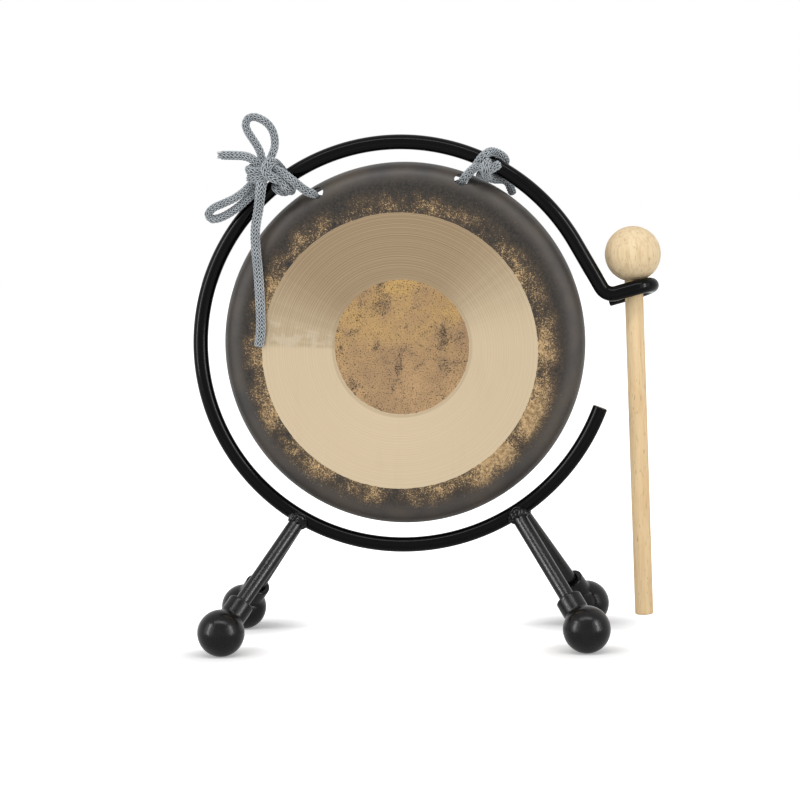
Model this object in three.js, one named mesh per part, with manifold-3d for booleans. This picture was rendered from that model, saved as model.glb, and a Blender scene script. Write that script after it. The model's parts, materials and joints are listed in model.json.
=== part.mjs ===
// A small table gong on its stand.
//
// One bent steel rod makes the ring, and ends in a loop that carries the mallet. Four rod legs are welded to
// the ring and stand on rubber balls. A single knitted cord hangs the gong inside the ring.
//
// Millimetres, +Z up, -Y towards the player. The origin is on the ground, midway across the ring and the
// loop. Every place in the ring's plane is measured from the centre of the ring, and one group lifts it all
// to its height.

import * as THREE from 'three';
import { mergeVertices } from 'three/addons/utils/BufferGeometryUtils.js';
import Module from 'manifold-3d';

// Frame rod
const ROD_DIA = 8.2;
const RING_RADIUS = 110.9;
const RING_FOOT_ROOM = 53.4;
const FIT = 0.3;

// The ring's open end springs out on a larger arc
const SPRUNG_WIDER = 5.4;
const SPRUNG_FROM = -96.4;
const SPRUNG_TO = -21.1;

// Hook for the mallet
const HOOK_LEAVES_AT = 29;
const HOOK_STRAIGHT = 28.3;
const HOOK_BEND_RADIUS = 7;
const HOOK_RISE = 14.6;
const HOOK_DIP = 7.6;
const HOOK_FRONT_RUN = 9.7;
const HOOK_LOOP_RADIUS = 10.3;
const HOOK_BACK_RUN = 14.6;

// Legs
const LEG_DIA = 8.2;
const LEG_END_CHAMFER = 0.6;
const LEFT_LEG_AT = 238.7;
const RIGHT_LEG_AT = 301.7;
const REAR_RIGHT_LEG_SHIFT = 1.1;
const LEFT_FOOT_INSET = 13.5;
const RIGHT_FOOT_INSET = 11.3;
const FOOT_Y = 43.9;

// Feet
const FOOT_DIA = 25.6;
const FOOT_FLAT = 0.3;
const COLLAR_DIA = 14.4;
const COLLAR_TOP = 20.8;
const COLLAR_CHAMFER = 0.9;
const FOOT_FILLET = 1.2;
const FOOT_BORE_DEPTH = 16;

// Weld beads: lumps round the end of each leg, by their angle from the leg's open side and their size
const WELD_LUMP_RADIUS = 2.8;
const WELD_RING_RADIUS = 3.4;
const WELD_RISE = 1.1;
const WELD_LUMP_SHARES = [
  [-115, 0.85],
  [-80, 1],
  [-42, 0.92],
  [-4, 1.08],
  [33, 0.9],
  [76, 1.05],
  [112, 0.85],
];

// Gong
const GONG_CLEARANCE = 7;
const GONG_WALL = 1.2;
const GONG_X = 1.8;
const GONG_Z = 0.4;
const GONG_FACE_Y = -5;
const GONG_CROWN = 0.8;
const GONG_BEND_RADIUS = 11;
const GONG_DEPTH = 16;
const GONG_RIM_LEAN = 2.5;
const FACE_STEP_SHARE = 0.6;
const FACE_STEP_CROWN_SHARE = 0.65;
const HOLE_DIA = 7.8;
const HOLE_TILT = 38;
const LEFT_HOLE_AT = 118.6;
const RIGHT_HOLE_AT = 69.2;

// Mallet
const HEAD_DIA = 30.6;
const HEAD_BORE_DEPTH = 16;
const HANDLE_DIA = 10.1;
const HANDLE_LENGTH = 200;
const HANDLE_CHAMFER = 0.6;
const MALLET_LEAN = 0.9;

// Cord
const CORD_DIA = 4.8;
const KNOT_WIDTH = 19;
const KNOT_HEIGHT = 16;
const KNOT_DEPTH = 10;
const KNOT_PLACE = [126.9, 10.02, -6.3];
const KNOT_LEAN = 12;

// The line that the gong swings about, where its cord leaves the ring
const SWING_Y = -2.6;
const SWING_BELOW_ROD = 17.9;

// Counts
const ROD_SIDES = 14;
const RING_STEP = 6;
const LOOP_STEPS = 12;
const BEND_STEPS = 6;
const CORD_SIDES = 8;
const LOOP_SIDES = 6;
const GONG_SIDES = 52;
const BEND_POINTS = 5;
const FOOT_SIDES = 18;
const BALL_RINGS = 9;
const HEAD_SIDES = 22;
const HEAD_RINGS = 12;
const HANDLE_SIDES = 16;
const HOLE_SIDES = 14;
const LUMP_SIDES = 8;
const LUMP_RINGS = 5;
const KNOT_SIDES = 14;
const KNOT_RINGS = 8;
const CORD_LOOP_STEPS = 24;
const SHORT_TAIL_STEPS = 6;
const LEAD_STEPS = 6;
const GAP_STEPS = 256;
const SEAT_PASSES = 8;
const FULL_TURN = 360;

// Routes of the cord. Each place is its angle round the ring, how far it is outside the rod's centre line,
// and its Y

// The long tail, from the bow knot down over the front of the ring and the gong's face
const TAIL_ROUTE = [
  [127.72, 7.93, -8.6],
  [128.98, 5.14, -11.2],
  [129.99, 3.17, -11.7],
  [131.34, 0.98, -10.8],
  [133.07, -1.52, -9.0],
  [135.08, -4.13, -7.4],
  [137.57, -6.99, -7.2],
  [139.97, -9.69, -7.5],
  [142.23, -12.61, -7.8],
  [145.70, -17.21, -7.9],
  [149.74, -21.99, -7.9],
  [154.86, -26.62, -7.9],
  [160.58, -30.31, -7.9],
  [166.80, -32.94, -7.9],
  [173.03, -34.23, -7.9],
  [179.63, -33.40, -7.9],
];
const TAIL_SPLIT = 6;

// The short frayed tail, out to the left of the bow knot
const SHORT_TAIL_ROUTE = [
  [126.72, 13.36, -6.0],
  [127.28, 19.04, -6.2],
  [128.38, 22.79, -6.5],
  [129.84, 26.62, -6.5],
  [131.07, 29.44, -6.2],
  [132.17, 32.25, -6.0],
];

// The bow's upper loop
const UPPER_LOOP_ROUTE = [
  [126.39, 11.46, -6.2],
  [124.77, 18.15, -6.0],
  [124.33, 23.15, -6.0],
  [124.25, 28.23, -6.2],
  [124.12, 32.61, -6.4],
  [123.67, 35.93, -6.5],
  [122.64, 37.78, -6.3],
  [121.44, 37.13, -6.0],
  [120.38, 34.23, -5.6],
  [119.65, 30.40, -5.0],
  [119.44, 26.21, -4.5],
  [119.85, 21.92, -4.2],
  [120.89, 17.64, -4.2],
  [122.61, 14.35, -5.4],
  [125.36, 11.10, -6.6],
];

// The bow's lower loop
const LOWER_LOOP_ROUTE = [
  [128.33, 8.42, -6.6],
  [130.97, 8.69, -7.2],
  [134.26, 8.75, -7.4],
  [137.31, 10.18, -7.4],
  [140.11, 13.05, -7.2],
  [142.62, 15.94, -6.8],
  [144.45, 16.19, -5.8],
  [144.98, 13.52, -4.9],
  [144.02, 10.81, -4.5],
  [141.90, 8.05, -4.4],
  [139.06, 6.00, -4.7],
  [135.77, 4.79, -5.2],
  [132.58, 4.53, -5.8],
  [130.56, 4.14, -6.2],
  [128.20, 4.89, -6.2],
];

// The lead: out of the knot and across the front of the ring, to where the gong hangs on it
const LEAD_ROUTE = [
  [124.41, 10.31, -7.6],
  [123.56, 7.78, -8.9],
  [122.75, 4.44, -9.8],
  [122.05, -0.47, -10.0],
  [121.27, -5.14, -9.2],
];

// The sling: on through one hole, behind the gong's face and out of the other to the hitch. It goes with the
// gong between the two stations named below it
const SLING_ROUTE = [
  [120.81, -7.62, -8.8],
  [120.15, -8.96, -8.0],
  [119.59, -10.05, -7.3],
  [118.28, -12.11, -5.2],
  [117.57, -13.88, -3.6],
  [117.50, -15.18, -2.1],
  [117.43, -16.48, -0.4],
  [116.34, -18.06, 2.0],
  [113.25, -19.69, 4.4],
  [103.20, -23.29, 5.4],
  [92.64, -24.21, 5.6],
  [82.21, -22.38, 5.4],
  [73.59, -18.85, 4.4],
  [69.87, -16.75, 2.0],
  [68.28, -14.99, -0.4],
  [68.32, -13.73, -2.1],
  [68.25, -12.39, -3.8],
  [67.45, -10.75, -4.9],
  [66.45, -8.79, -4.6],
];
const LEAD_ENDS = 1;
const HITCH_BEGINS = 17;

// The hitch's tail, out from under the ring and back past the gong's rim
const HITCH_TAIL_ROUTE = [
  [55.79, -3.64, 10.0],
  [54.71, -4.80, 13.0],
  [53.63, -6.34, 16.0],
  [52.42, -7.93, 19.0],
];

// Wraps round the rod: how far along the rod, the angle round it from its outer side towards the front, and
// how far out from its centre line. Lengths are counted in cord diameters
const LEFT_WRAP_AT = 122.5;
const LEFT_WRAP_SHARES = [
  [-1.2, 34, 2.2],
  [-0.6, 26, 2.02],
  [-0.05, 15, 1.88],
  [0.2, -3, 1.74],
  [0.18, -24, 1.6],
  [0.05, -55, 1.5],
  [-0.1, -90, 1.46],
  [-0.3, -130, 1.46],
  [-0.55, -165, 1.48],
  [-0.8, -195, 1.5],
  [-1.05, -222, 1.52],
  [-1.35, -243, 1.56],
  [-1.66, -257, 1.58],
  [-1.84, -272, 1.62],
  [-1.94, -288, 1.7],
  [-1.98, -302, 1.84],
];
const RIGHT_WRAP_AT = 62.6;
const RIGHT_WRAP_SHARES = [
  [-1.46, 137, 1.86],
  [-1.34, 112, 1.85],
  [-1.2, 86, 1.82],
  [-0.99, 60, 1.78],
  [-0.6, 32, 1.78],
  [0.1, 9, 1.81],
  [0.96, -12, 1.66],
  [1.35, -42, 1.49],
  [1.25, -80, 1.47],
  [0.84, -117, 1.46],
  [0.28, -150, 1.46],
  [-0.14, -181, 1.46],
  [-0.34, -208, 1.47],
  [-0.2, -233, 1.46],
  [0.32, -252, 1.46],
  [1.02, -260, 1.49],
  [1.52, -272, 1.51],
  [1.74, -290, 1.53],
  [1.61, -308, 1.59],
  [1.2, -319, 1.65],
  [0.69, -318, 1.65],
  [0.28, -306, 1.75],
  [0.12, -290, 2.1],
  [0.15, -274, 2.49],
  [0.16, -258, 2.63],
  [0.18, -243, 2.62],
  [0.36, -228, 2.5],
  [0.69, -216, 2.12],
  [0.91, -203, 1.71],
  [1.13, -188, 1.48],
  [1.39, -171, 1.46],
  [1.72, -151, 1.47],
  [2.05, -132, 1.55],
];
const WRAP_STEP_SHARE = 0.45;

const RING_HEIGHT = RING_RADIUS + RING_FOOT_ROOM;
const ROD_RADIUS = ROD_DIA / 2;
const LEG_RADIUS = LEG_DIA / 2;
const CORD_RADIUS = CORD_DIA / 2;
const FOOT_RADIUS = FOOT_DIA / 2;
const FOOT_Z = FOOT_RADIUS - FOOT_FLAT - RING_HEIGHT;
const LEFT_FOOT_X = LEFT_FOOT_INSET - RING_RADIUS;
const RIGHT_FOOT_X = RING_RADIUS - RIGHT_FOOT_INSET;
const SPRUNG_RADIUS = RING_RADIUS + SPRUNG_WIDER;
const GONG_DIA = 2 * (RING_RADIUS - ROD_RADIUS - GONG_CLEARANCE);
const SWING_Z = RING_RADIUS - SWING_BELOW_ROD;

const PAINT = new THREE.MeshStandardMaterial({ color: 0x0b0b0c, roughness: 0.28, metalness: 0.1 });
const LEG_PAINT = new THREE.MeshStandardMaterial({ color: 0x101011, roughness: 0.34, metalness: 0.1 });
const RUBBER = new THREE.MeshStandardMaterial({ color: 0x1a1a1b, roughness: 0.45, metalness: 0 });
const BRONZE = new THREE.MeshStandardMaterial({ color: 0x8f7a55, roughness: 0.4, metalness: 0.9 });
const BEECH = new THREE.MeshStandardMaterial({ color: 0xe3c393, roughness: 0.6, metalness: 0 });
const KNIT = new THREE.MeshStandardMaterial({ color: 0x9aa1a6, roughness: 0.9, metalness: 0 });

const wasm = await Module();
wasm.setup();

const radians = THREE.MathUtils.degToRad;
const vector = (x, y, z) => new THREE.Vector3(x, y, z);

// A place in the ring's plane, by angle from +X and distance from a centre
const polar = (degrees, radius) => {
  const angle = radians(degrees);
  return vector(radius * Math.cos(angle), 0, radius * Math.sin(angle));
};

// Solids

function toSolid(geometry) {
  const bare = geometry.clone();
  bare.deleteAttribute('normal');
  bare.deleteAttribute('uv');
  const merged = mergeVertices(bare);
  const mesh = new wasm.Mesh({
    numProp: 3,
    vertProperties: new Float32Array(merged.attributes.position.array),
    triVerts: new Uint32Array(merged.index.array),
  });
  return new wasm.Manifold(mesh);
}

function toGeometry(solid) {
  const mesh = solid.getMesh();
  const geometry = new THREE.BufferGeometry();
  geometry.setAttribute('position', new THREE.BufferAttribute(new Float32Array(mesh.vertProperties), 3));
  geometry.setIndex(new THREE.BufferAttribute(new Uint32Array(mesh.triVerts), 1));
  geometry.computeVertexNormals();
  return geometry;
}

function piece(name, geometry, material) {
  const mesh = new THREE.Mesh(geometry, material);
  mesh.name = name;
  return mesh;
}

// A curve whose stations are the given points, so that the sweep's steps fall where the shape needs them
class Stations extends THREE.Curve {
  constructor(points) {
    super();
    this.points = points;
  }

  getPoint(t, target = new THREE.Vector3()) {
    const place = t * (this.points.length - 1);
    const index = Math.min(Math.floor(place), this.points.length - 2);
    return target.lerpVectors(this.points[index], this.points[index + 1], place - index);
  }

  getPointAt(u, target) {
    return this.getPoint(u, target);
  }

  getTangentAt(u, target = new THREE.Vector3()) {
    const last = this.points.length - 1;
    const index = Math.round(u * last);
    const before = this.points[Math.max(index - 1, 0)];
    const after = this.points[Math.min(index + 1, last)];
    return target.subVectors(after, before).normalize();
  }
}

function roundSection(radius, sides) {
  const section = new THREE.Shape();
  for (let side = 0; side < sides; side += 1) {
    const angle = (2 * Math.PI * side) / sides;
    const x = radius * Math.cos(angle);
    const y = radius * Math.sin(angle);
    if (side === 0) section.moveTo(x, y);
    else section.lineTo(x, y);
  }
  section.closePath();
  return section;
}

function sweep(points, radius, sides) {
  return new THREE.ExtrudeGeometry(roundSection(radius, sides), {
    steps: points.length - 1,
    extrudePath: new Stations(points),
    bevelEnabled: false,
  });
}

// A rod between two points
function bar(from, to, radius, sides) {
  return sweep([from, to], radius, sides);
}

// A smooth run of stations through hand-placed points
function smooth(points, steps) {
  const curve = new THREE.CatmullRomCurve3(points, false, 'centripetal');
  return curve.getSpacedPoints(steps);
}

// A lathed solid about an axis from a base point; profile points are [radius, distance along the axis]
function lathe(profile, sides, base, axis) {
  const outline = profile.map(([radius, along]) => new THREE.Vector2(radius, along));
  const geometry = new THREE.LatheGeometry(outline, sides);
  const turn = new THREE.Quaternion().setFromUnitVectors(vector(0, 1, 0), axis);
  geometry.applyQuaternion(turn);
  geometry.translate(base.x, base.y, base.z);
  return geometry;
}

// Points of an arc for a profile or a path, both ends included
function arc(from, to, steps, place) {
  const points = [];
  for (let step = 0; step <= steps; step += 1) {
    points.push(place(from + ((to - from) * step) / steps));
  }
  return points;
}

// The frame rod's centre line

const SPRUNG_CENTRE = polar(SPRUNG_FROM, RING_RADIUS - SPRUNG_RADIUS);
const sprungPlace = (angle) => polar(angle, SPRUNG_RADIUS).add(SPRUNG_CENTRE);

function sprungArc() {
  const steps = Math.round((SPRUNG_TO - SPRUNG_FROM) / RING_STEP);
  return arc(SPRUNG_TO, SPRUNG_FROM, steps, sprungPlace);
}

function roundArc() {
  const end = HOOK_LEAVES_AT - FULL_TURN;
  const steps = Math.round((SPRUNG_FROM - end) / RING_STEP);
  return arc(SPRUNG_FROM, end, steps, (angle) => polar(angle, RING_RADIUS));
}

// The hook: a straight run, a bend up, a front run, a half loop round the handle and a back run
function hookParts() {
  const leave = polar(HOOK_LEAVES_AT, RING_RADIUS);
  const heading = HOOK_LEAVES_AT - 90;
  const straightEnd = leave.clone().add(polar(heading, HOOK_STRAIGHT));
  const bendCentre = straightEnd.clone().add(polar(heading + 90, HOOK_BEND_RADIUS));
  const bend = arc(heading, HOOK_RISE, BEND_STEPS, (angle) => {
    return bendCentre.clone().add(polar(angle - 90, HOOK_BEND_RADIUS));
  });
  const across = polar(HOOK_RISE, 1);
  const up = polar(HOOK_RISE + 90, 1);
  const dip = radians(HOOK_DIP);
  const back = vector(0, Math.cos(dip), 0).addScaledVector(up, -Math.sin(dip));
  const front = bend[bend.length - 1].clone().addScaledVector(across, HOOK_FRONT_RUN);
  const centre = front.clone().addScaledVector(back, HOOK_LOOP_RADIUS);
  const loop = arc(0, 180, LOOP_STEPS, (turn) => {
    const angle = radians(turn);
    return centre
      .clone()
      .addScaledVector(across, HOOK_LOOP_RADIUS * Math.sin(angle))
      .addScaledVector(back, -HOOK_LOOP_RADIUS * Math.cos(angle));
  });
  const end = loop[loop.length - 1].clone().addScaledVector(across, -HOOK_BACK_RUN);
  const normal = new THREE.Vector3().crossVectors(across, back);
  return { bend, loop, end, centre, across, normal };
}

const HOOK = hookParts();
const MALLET_REACH = HOOK.centre.x + HEAD_DIA / 2;
const RING_REACH = RING_RADIUS + ROD_RADIUS;
const CENTRE_X = (RING_REACH - MALLET_REACH) / 2;

const FRAME_POINTS = [...sprungArc(), ...roundArc().slice(1), ...HOOK.bend, ...HOOK.loop, HOOK.end];

function frameRod() {
  return piece('frame_rod', sweep(FRAME_POINTS, ROD_RADIUS, ROD_SIDES), PAINT);
}

// Legs, welds and feet

// A leg butts on the underside of the ring rod, beside the other leg of its pair
function legAxis(angle, footX, footY) {
  const onRing = angle > FULL_TURN + SPRUNG_FROM ? sprungPlace(angle) : polar(angle, RING_RADIUS);
  const alongRing = polar(angle + 90, 1);
  const foot = vector(footX, footY, FOOT_Z);
  const side = Math.sign(footY);
  const top = onRing.clone();
  for (let pass = 0; pass < SEAT_PASSES; pass += 1) {
    const down = foot.clone().sub(top).normalize();
    const lean = Math.abs(down.y);
    const upright = Math.hypot(down.x, down.z);
    const aside = LEG_RADIUS * upright + FIT;
    const reach = ROD_RADIUS + FIT + LEG_RADIUS * Math.abs(down.dot(alongRing));
    const inPlane = vector(down.x, 0, down.z).normalize();
    top.copy(onRing).addScaledVector(inPlane, (reach - aside * lean) / upright);
    top.y = side * aside;
  }
  const down = foot.clone().sub(top).normalize();
  return { onRing, alongRing, foot, top, down };
}

function leg(name, axis) {
  const length = axis.foot.distanceTo(axis.top) - (COLLAR_TOP - FOOT_BORE_DEPTH) - FIT;
  const profile = [
    [0, 0],
    [LEG_RADIUS - LEG_END_CHAMFER, 0],
    [LEG_RADIUS, LEG_END_CHAMFER],
    [LEG_RADIUS, length],
    [0, length],
  ];
  return piece(name, lathe(profile, ROD_SIDES, axis.top, axis.down), LEG_PAINT);
}

// A weld bead: a run of lumps round the end of the leg, in the corner that it makes with the ring rod
function weld(name, axis) {
  const side = Math.sign(axis.foot.y);
  const open = vector(0, side, 0);
  open.addScaledVector(axis.down, -open.dot(axis.down)).normalize();
  const across = new THREE.Vector3().crossVectors(axis.down, open);
  let bead = null;
  for (const [turn, size] of WELD_LUMP_SHARES) {
    const lump = new THREE.SphereGeometry(WELD_LUMP_RADIUS * size, LUMP_SIDES, LUMP_RINGS);
    const place = axis.top
      .clone()
      .addScaledVector(open, WELD_RING_RADIUS * Math.cos(radians(turn)))
      .addScaledVector(across, WELD_RING_RADIUS * Math.sin(radians(turn)))
      .addScaledVector(axis.down, -WELD_RISE);
    lump.translate(place.x, place.y, place.z);
    bead = bead ? bead.add(toSolid(lump)) : toSolid(lump);
  }
  const half = bead.trimByPlane([0, side, 0], FIT / 2);
  return piece(name, toGeometry(half.subtract(rodCutter()).subtract(legCutter(axis))), PAINT);
}

const rodCutter = () => toSolid(sweep(FRAME_POINTS, ROD_RADIUS + FIT, ROD_SIDES));

function legCutter(axis) {
  const start = axis.top.clone().addScaledVector(axis.down, -FIT);
  return toSolid(bar(start, axis.foot, LEG_RADIUS + FIT, ROD_SIDES));
}

// A rubber ball with a collar, bored for the leg and worn flat where it stands
function foot(name, axis) {
  const bore = LEG_RADIUS + FIT;
  const collar = COLLAR_DIA / 2;
  const up = axis.down.clone().negate();
  const neck = Math.asin(collar / FOOT_RADIUS);
  const ball = arc(-Math.PI / 2, Math.PI / 2 - neck - FOOT_FILLET / FOOT_RADIUS, BALL_RINGS, (angle) => {
    return [FOOT_RADIUS * Math.cos(angle), FOOT_RADIUS * Math.sin(angle)];
  });
  ball[0] = [0, -FOOT_RADIUS];
  const neckTop = FOOT_RADIUS * Math.cos(neck) + FOOT_FILLET;
  const profile = [
    ...ball,
    [collar, neckTop],
    [collar, COLLAR_TOP - COLLAR_CHAMFER],
    [collar - COLLAR_CHAMFER, COLLAR_TOP],
    [bore, COLLAR_TOP],
    [bore, COLLAR_TOP - FOOT_BORE_DEPTH],
    [0, COLLAR_TOP - FOOT_BORE_DEPTH],
  ];
  const ballSolid = toSolid(lathe(profile, FOOT_SIDES, axis.foot, up));
  const ground = new THREE.BoxGeometry(2 * FOOT_DIA, 2 * FOOT_DIA, FOOT_DIA);
  ground.translate(axis.foot.x, axis.foot.y, -RING_HEIGHT - FOOT_DIA / 2);
  return piece(name, toGeometry(ballSolid.subtract(toSolid(ground))), RUBBER);
}

// Gong

// Where the bend's surface faces at a tilt from the front, on its outer skin
function bendPlace(tilt, radius) {
  const angle = radians(tilt);
  const inner = GONG_DIA / 2 - GONG_BEND_RADIUS;
  return [inner + radius * Math.sin(angle), GONG_BEND_RADIUS - radius * Math.cos(angle)];
}

function gongProfile() {
  const rim = GONG_DIA / 2;
  const flat = rim - GONG_BEND_RADIUS;
  const outer = arc(0, 90, BEND_POINTS, (tilt) => bendPlace(tilt, GONG_BEND_RADIUS));
  const inner = arc(90, 0, BEND_POINTS, (tilt) => bendPlace(tilt, GONG_BEND_RADIUS - GONG_WALL));
  return [
    [0, -GONG_CROWN],
    [flat * FACE_STEP_SHARE, -GONG_CROWN * FACE_STEP_CROWN_SHARE],
    ...outer,
    [rim - GONG_RIM_LEAN, GONG_DEPTH],
    [rim - GONG_RIM_LEAN - GONG_WALL, GONG_DEPTH],
    ...inner,
    [flat * FACE_STEP_SHARE, GONG_WALL - GONG_CROWN * FACE_STEP_CROWN_SHARE],
    [0, GONG_WALL - GONG_CROWN],
  ];
}

// A hole through the bend, square to its skin
function holeCutter(degrees) {
  const [radius, back] = bendPlace(HOLE_TILT, GONG_BEND_RADIUS);
  const [fromRadius, fromBack] = bendPlace(HOLE_TILT, GONG_BEND_RADIUS + 2 * GONG_WALL);
  const centre = polar(degrees, radius).setY(back);
  const outside = polar(degrees, fromRadius).setY(fromBack);
  const inside = centre.clone().multiplyScalar(2).sub(outside);
  return toSolid(bar(outside, inside, HOLE_DIA / 2, HOLE_SIDES));
}

function gong() {
  const plate = toSolid(lathe(gongProfile(), GONG_SIDES, vector(0, 0, 0), vector(0, 1, 0)));
  const drilled = plate.subtract(holeCutter(LEFT_HOLE_AT)).subtract(holeCutter(RIGHT_HOLE_AT));
  const mesh = piece('gong', toGeometry(drilled), BRONZE);
  mesh.position.set(GONG_X, GONG_FACE_Y, GONG_Z);
  return mesh;
}

// Mallet: the ball rests on the highest side of the tilted loop

function headHeight() {
  const tilt = Math.acos(HOOK.normal.z);
  const reach = HEAD_DIA / 2 + ROD_RADIUS + FIT;
  const level = HOOK_LOOP_RADIUS * Math.cos(tilt);
  return HOOK_LOOP_RADIUS * Math.sin(tilt) + Math.sqrt(reach * reach - level * level);
}

function malletHead() {
  const radius = HEAD_DIA / 2;
  const bore = HANDLE_DIA / 2 + FIT;
  const mouth = Math.asin(bore / radius);
  const skin = arc(Math.PI / 2, mouth - Math.PI / 2, HEAD_RINGS, (angle) => {
    return [radius * Math.cos(angle), radius * Math.sin(angle)];
  });
  skin[0] = [0, radius];
  const boreTop = HEAD_BORE_DEPTH - radius;
  const profile = [...skin, [bore, boreTop], [0, boreTop]].reverse();
  return piece('mallet_head', lathe(profile, HEAD_SIDES, vector(0, 0, 0), vector(0, 0, 1)), BEECH);
}

function malletHandle() {
  const radius = HANDLE_DIA / 2;
  const top = HEAD_BORE_DEPTH - HEAD_DIA / 2 - FIT;
  const bottom = top - HANDLE_LENGTH;
  const profile = [
    [0, bottom],
    [radius - HANDLE_CHAMFER, bottom],
    [radius, bottom + HANDLE_CHAMFER],
    [radius, top - HANDLE_CHAMFER],
    [radius - HANDLE_CHAMFER, top],
    [0, top],
  ];
  return piece('mallet_handle', lathe(profile, HANDLE_SIDES, vector(0, 0, 0), vector(0, 0, 1)), BEECH);
}

function mallet() {
  const group = new THREE.Group();
  group.add(malletHead(), malletHandle());
  group.position.set(HOOK.centre.x, HOOK.centre.y, HOOK.centre.z + headHeight());
  group.rotation.y = -radians(MALLET_LEAN);
  return group;
}

// Cord

// A place by angle round the ring, distance outside the rod's centre line, and Y
const byRing = ([at, out, y]) => polar(at, RING_RADIUS + out).setY(y);
const toVectors = (route) => route.map(byRing);

// The knot's body; grown by the fit it cuts the stretches that leave it
function knotSolid(grow) {
  const ball = new THREE.SphereGeometry(1, KNOT_SIDES, KNOT_RINGS);
  ball.scale(KNOT_WIDTH / 2 + grow, KNOT_DEPTH / 2 + grow, KNOT_HEIGHT / 2 + grow);
  ball.rotateY(radians(KNOT_LEAN));
  const centre = byRing(KNOT_PLACE);
  ball.translate(centre.x, centre.y, centre.z);
  return toSolid(ball);
}

const cordSolid = (points, sides) => toSolid(sweep(points, CORD_RADIUS, sides));

// A stretch of cord, cut where it leaves the knot
function cordFromKnot(name, route, steps, sides) {
  const tube = cordSolid(smooth(toVectors(route), steps), sides);
  return piece(name, toGeometry(tube.subtract(knotSolid(FIT))), KNIT);
}

// The part of a solid that lies past a place along a direction, clear of that plane by half the fit
function past(solid, direction, place) {
  return solid.trimByPlane(direction.toArray(), direction.dot(place) + FIT / 2);
}

// The long tail is two stretches. The lower one lies on the gong and swings with it, so the cut between them
// is square to the line from the swing's axis
function longTail() {
  const points = toVectors(TAIL_ROUTE);
  const split = points[TAIL_SPLIT];
  const down = vector(0, split.y - SWING_Y, split.z - SWING_Z).normalize();
  const upper = cordSolid(points.slice(0, TAIL_SPLIT + 2), CORD_SIDES).subtract(knotSolid(FIT));
  const lower = cordSolid(points.slice(TAIL_SPLIT - 1), CORD_SIDES);
  return [
    piece('cord_tail_upper', toGeometry(past(upper, down.clone().negate(), split)), KNIT),
    piece('cord_tail_lower', toGeometry(past(lower, down, split)), KNIT),
  ];
}

// Turns of cord round the rod, from their places along it, round it and out from it
function wrapPoints(at, shares) {
  return shares.map(([along, round, out]) => {
    const degrees = at - THREE.MathUtils.radToDeg((along * CORD_DIA) / RING_RADIUS);
    const angle = radians(round);
    const distance = out * CORD_DIA;
    const place = polar(degrees, RING_RADIUS + distance * Math.cos(angle));
    return place.setY(-distance * Math.sin(angle));
  });
}

// The least gap of a tube to itself, between stations more than half a turn apart along it
function ownGap(points) {
  let least = Infinity;
  const apart = 2 * CORD_DIA;
  points.forEach((point, index) => {
    let walked = 0;
    for (let other = index + 1; other < points.length; other += 1) {
      walked += points[other].distanceTo(points[other - 1]);
      if (walked > apart) least = Math.min(least, point.distanceTo(points[other]) - CORD_DIA);
    }
  });
  return least;
}

function wrap(name, at, shares) {
  const points = wrapPoints(at, shares);
  const curve = new THREE.CatmullRomCurve3(points, false, 'centripetal');
  const steps = Math.round(curve.getLength() / (CORD_DIA * WRAP_STEP_SHARE));
  console.log(name, 'least gap to itself', ownGap(smooth(points, GAP_STEPS)).toFixed(2));
  return smooth(points, steps);
}

function leftWrap() {
  const stations = wrap('cord_wrap_left', LEFT_WRAP_AT, LEFT_WRAP_SHARES);
  const tube = cordSolid(stations, LOOP_SIDES);
  return piece('cord_wrap_left', toGeometry(tube.subtract(knotSolid(FIT))), KNIT);
}

// Two stations in line with the end of a stretch, past it by the fit and by half the cord more
function carriedOn(end, before) {
  const along = end.clone().sub(before).normalize();
  return [end.clone().addScaledVector(along, FIT), end.clone().addScaledVector(along, FIT + CORD_RADIUS)];
}

// The lead, the sling and the hitch are one run of cord. The sling swings with the gong, so the cuts at its
// ends are square to the swing's axis
function hanger() {
  const lead = smooth(toVectors(LEAD_ROUTE), LEAD_STEPS);
  const sling = toVectors(SLING_ROUTE);
  const turns = wrap('cord_hitch', RIGHT_WRAP_AT, RIGHT_WRAP_SHARES);
  const last = turns.length - 1;
  const leadEnd = sling[LEAD_ENDS];
  const hitchStart = sling[HITCH_BEGINS];
  const right = vector(1, 0, 0);
  const left = vector(-1, 0, 0);
  const leadRun = [...lead, ...sling.slice(0, LEAD_ENDS + 2)];
  const leadTube = cordSolid(leadRun, CORD_SIDES).subtract(knotSolid(FIT));
  const slingTube = cordSolid(sling, CORD_SIDES);
  const hitchTube = cordSolid([...sling.slice(HITCH_BEGINS - 1), ...turns], LOOP_SIDES);
  const tail = [...carriedOn(turns[last], turns[last - 1]), ...toVectors(HITCH_TAIL_ROUTE)];
  return [
    piece('cord_lead', toGeometry(past(leadTube, left, leadEnd)), KNIT),
    piece('cord_sling', toGeometry(past(past(slingTube, right, leadEnd), left, hitchStart)), KNIT),
    piece('cord_hitch', toGeometry(past(hitchTube, right, hitchStart)), KNIT),
    piece('cord_hitch_tail', sweep(tail, CORD_RADIUS, CORD_SIDES), KNIT),
  ];
}

function cord() {
  return [
    ...longTail(),
    cordFromKnot('cord_short_tail', SHORT_TAIL_ROUTE, SHORT_TAIL_STEPS, CORD_SIDES),
    cordFromKnot('cord_bow_upper', UPPER_LOOP_ROUTE, CORD_LOOP_STEPS, CORD_SIDES),
    cordFromKnot('cord_bow_lower', LOWER_LOOP_ROUTE, CORD_LOOP_STEPS, CORD_SIDES),
    piece('cord_knot', toGeometry(knotSolid(0)), KNIT),
    leftWrap(),
    ...hanger(),
  ];
}

// The whole stand, in the ring's own frame, lifted to its height

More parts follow.
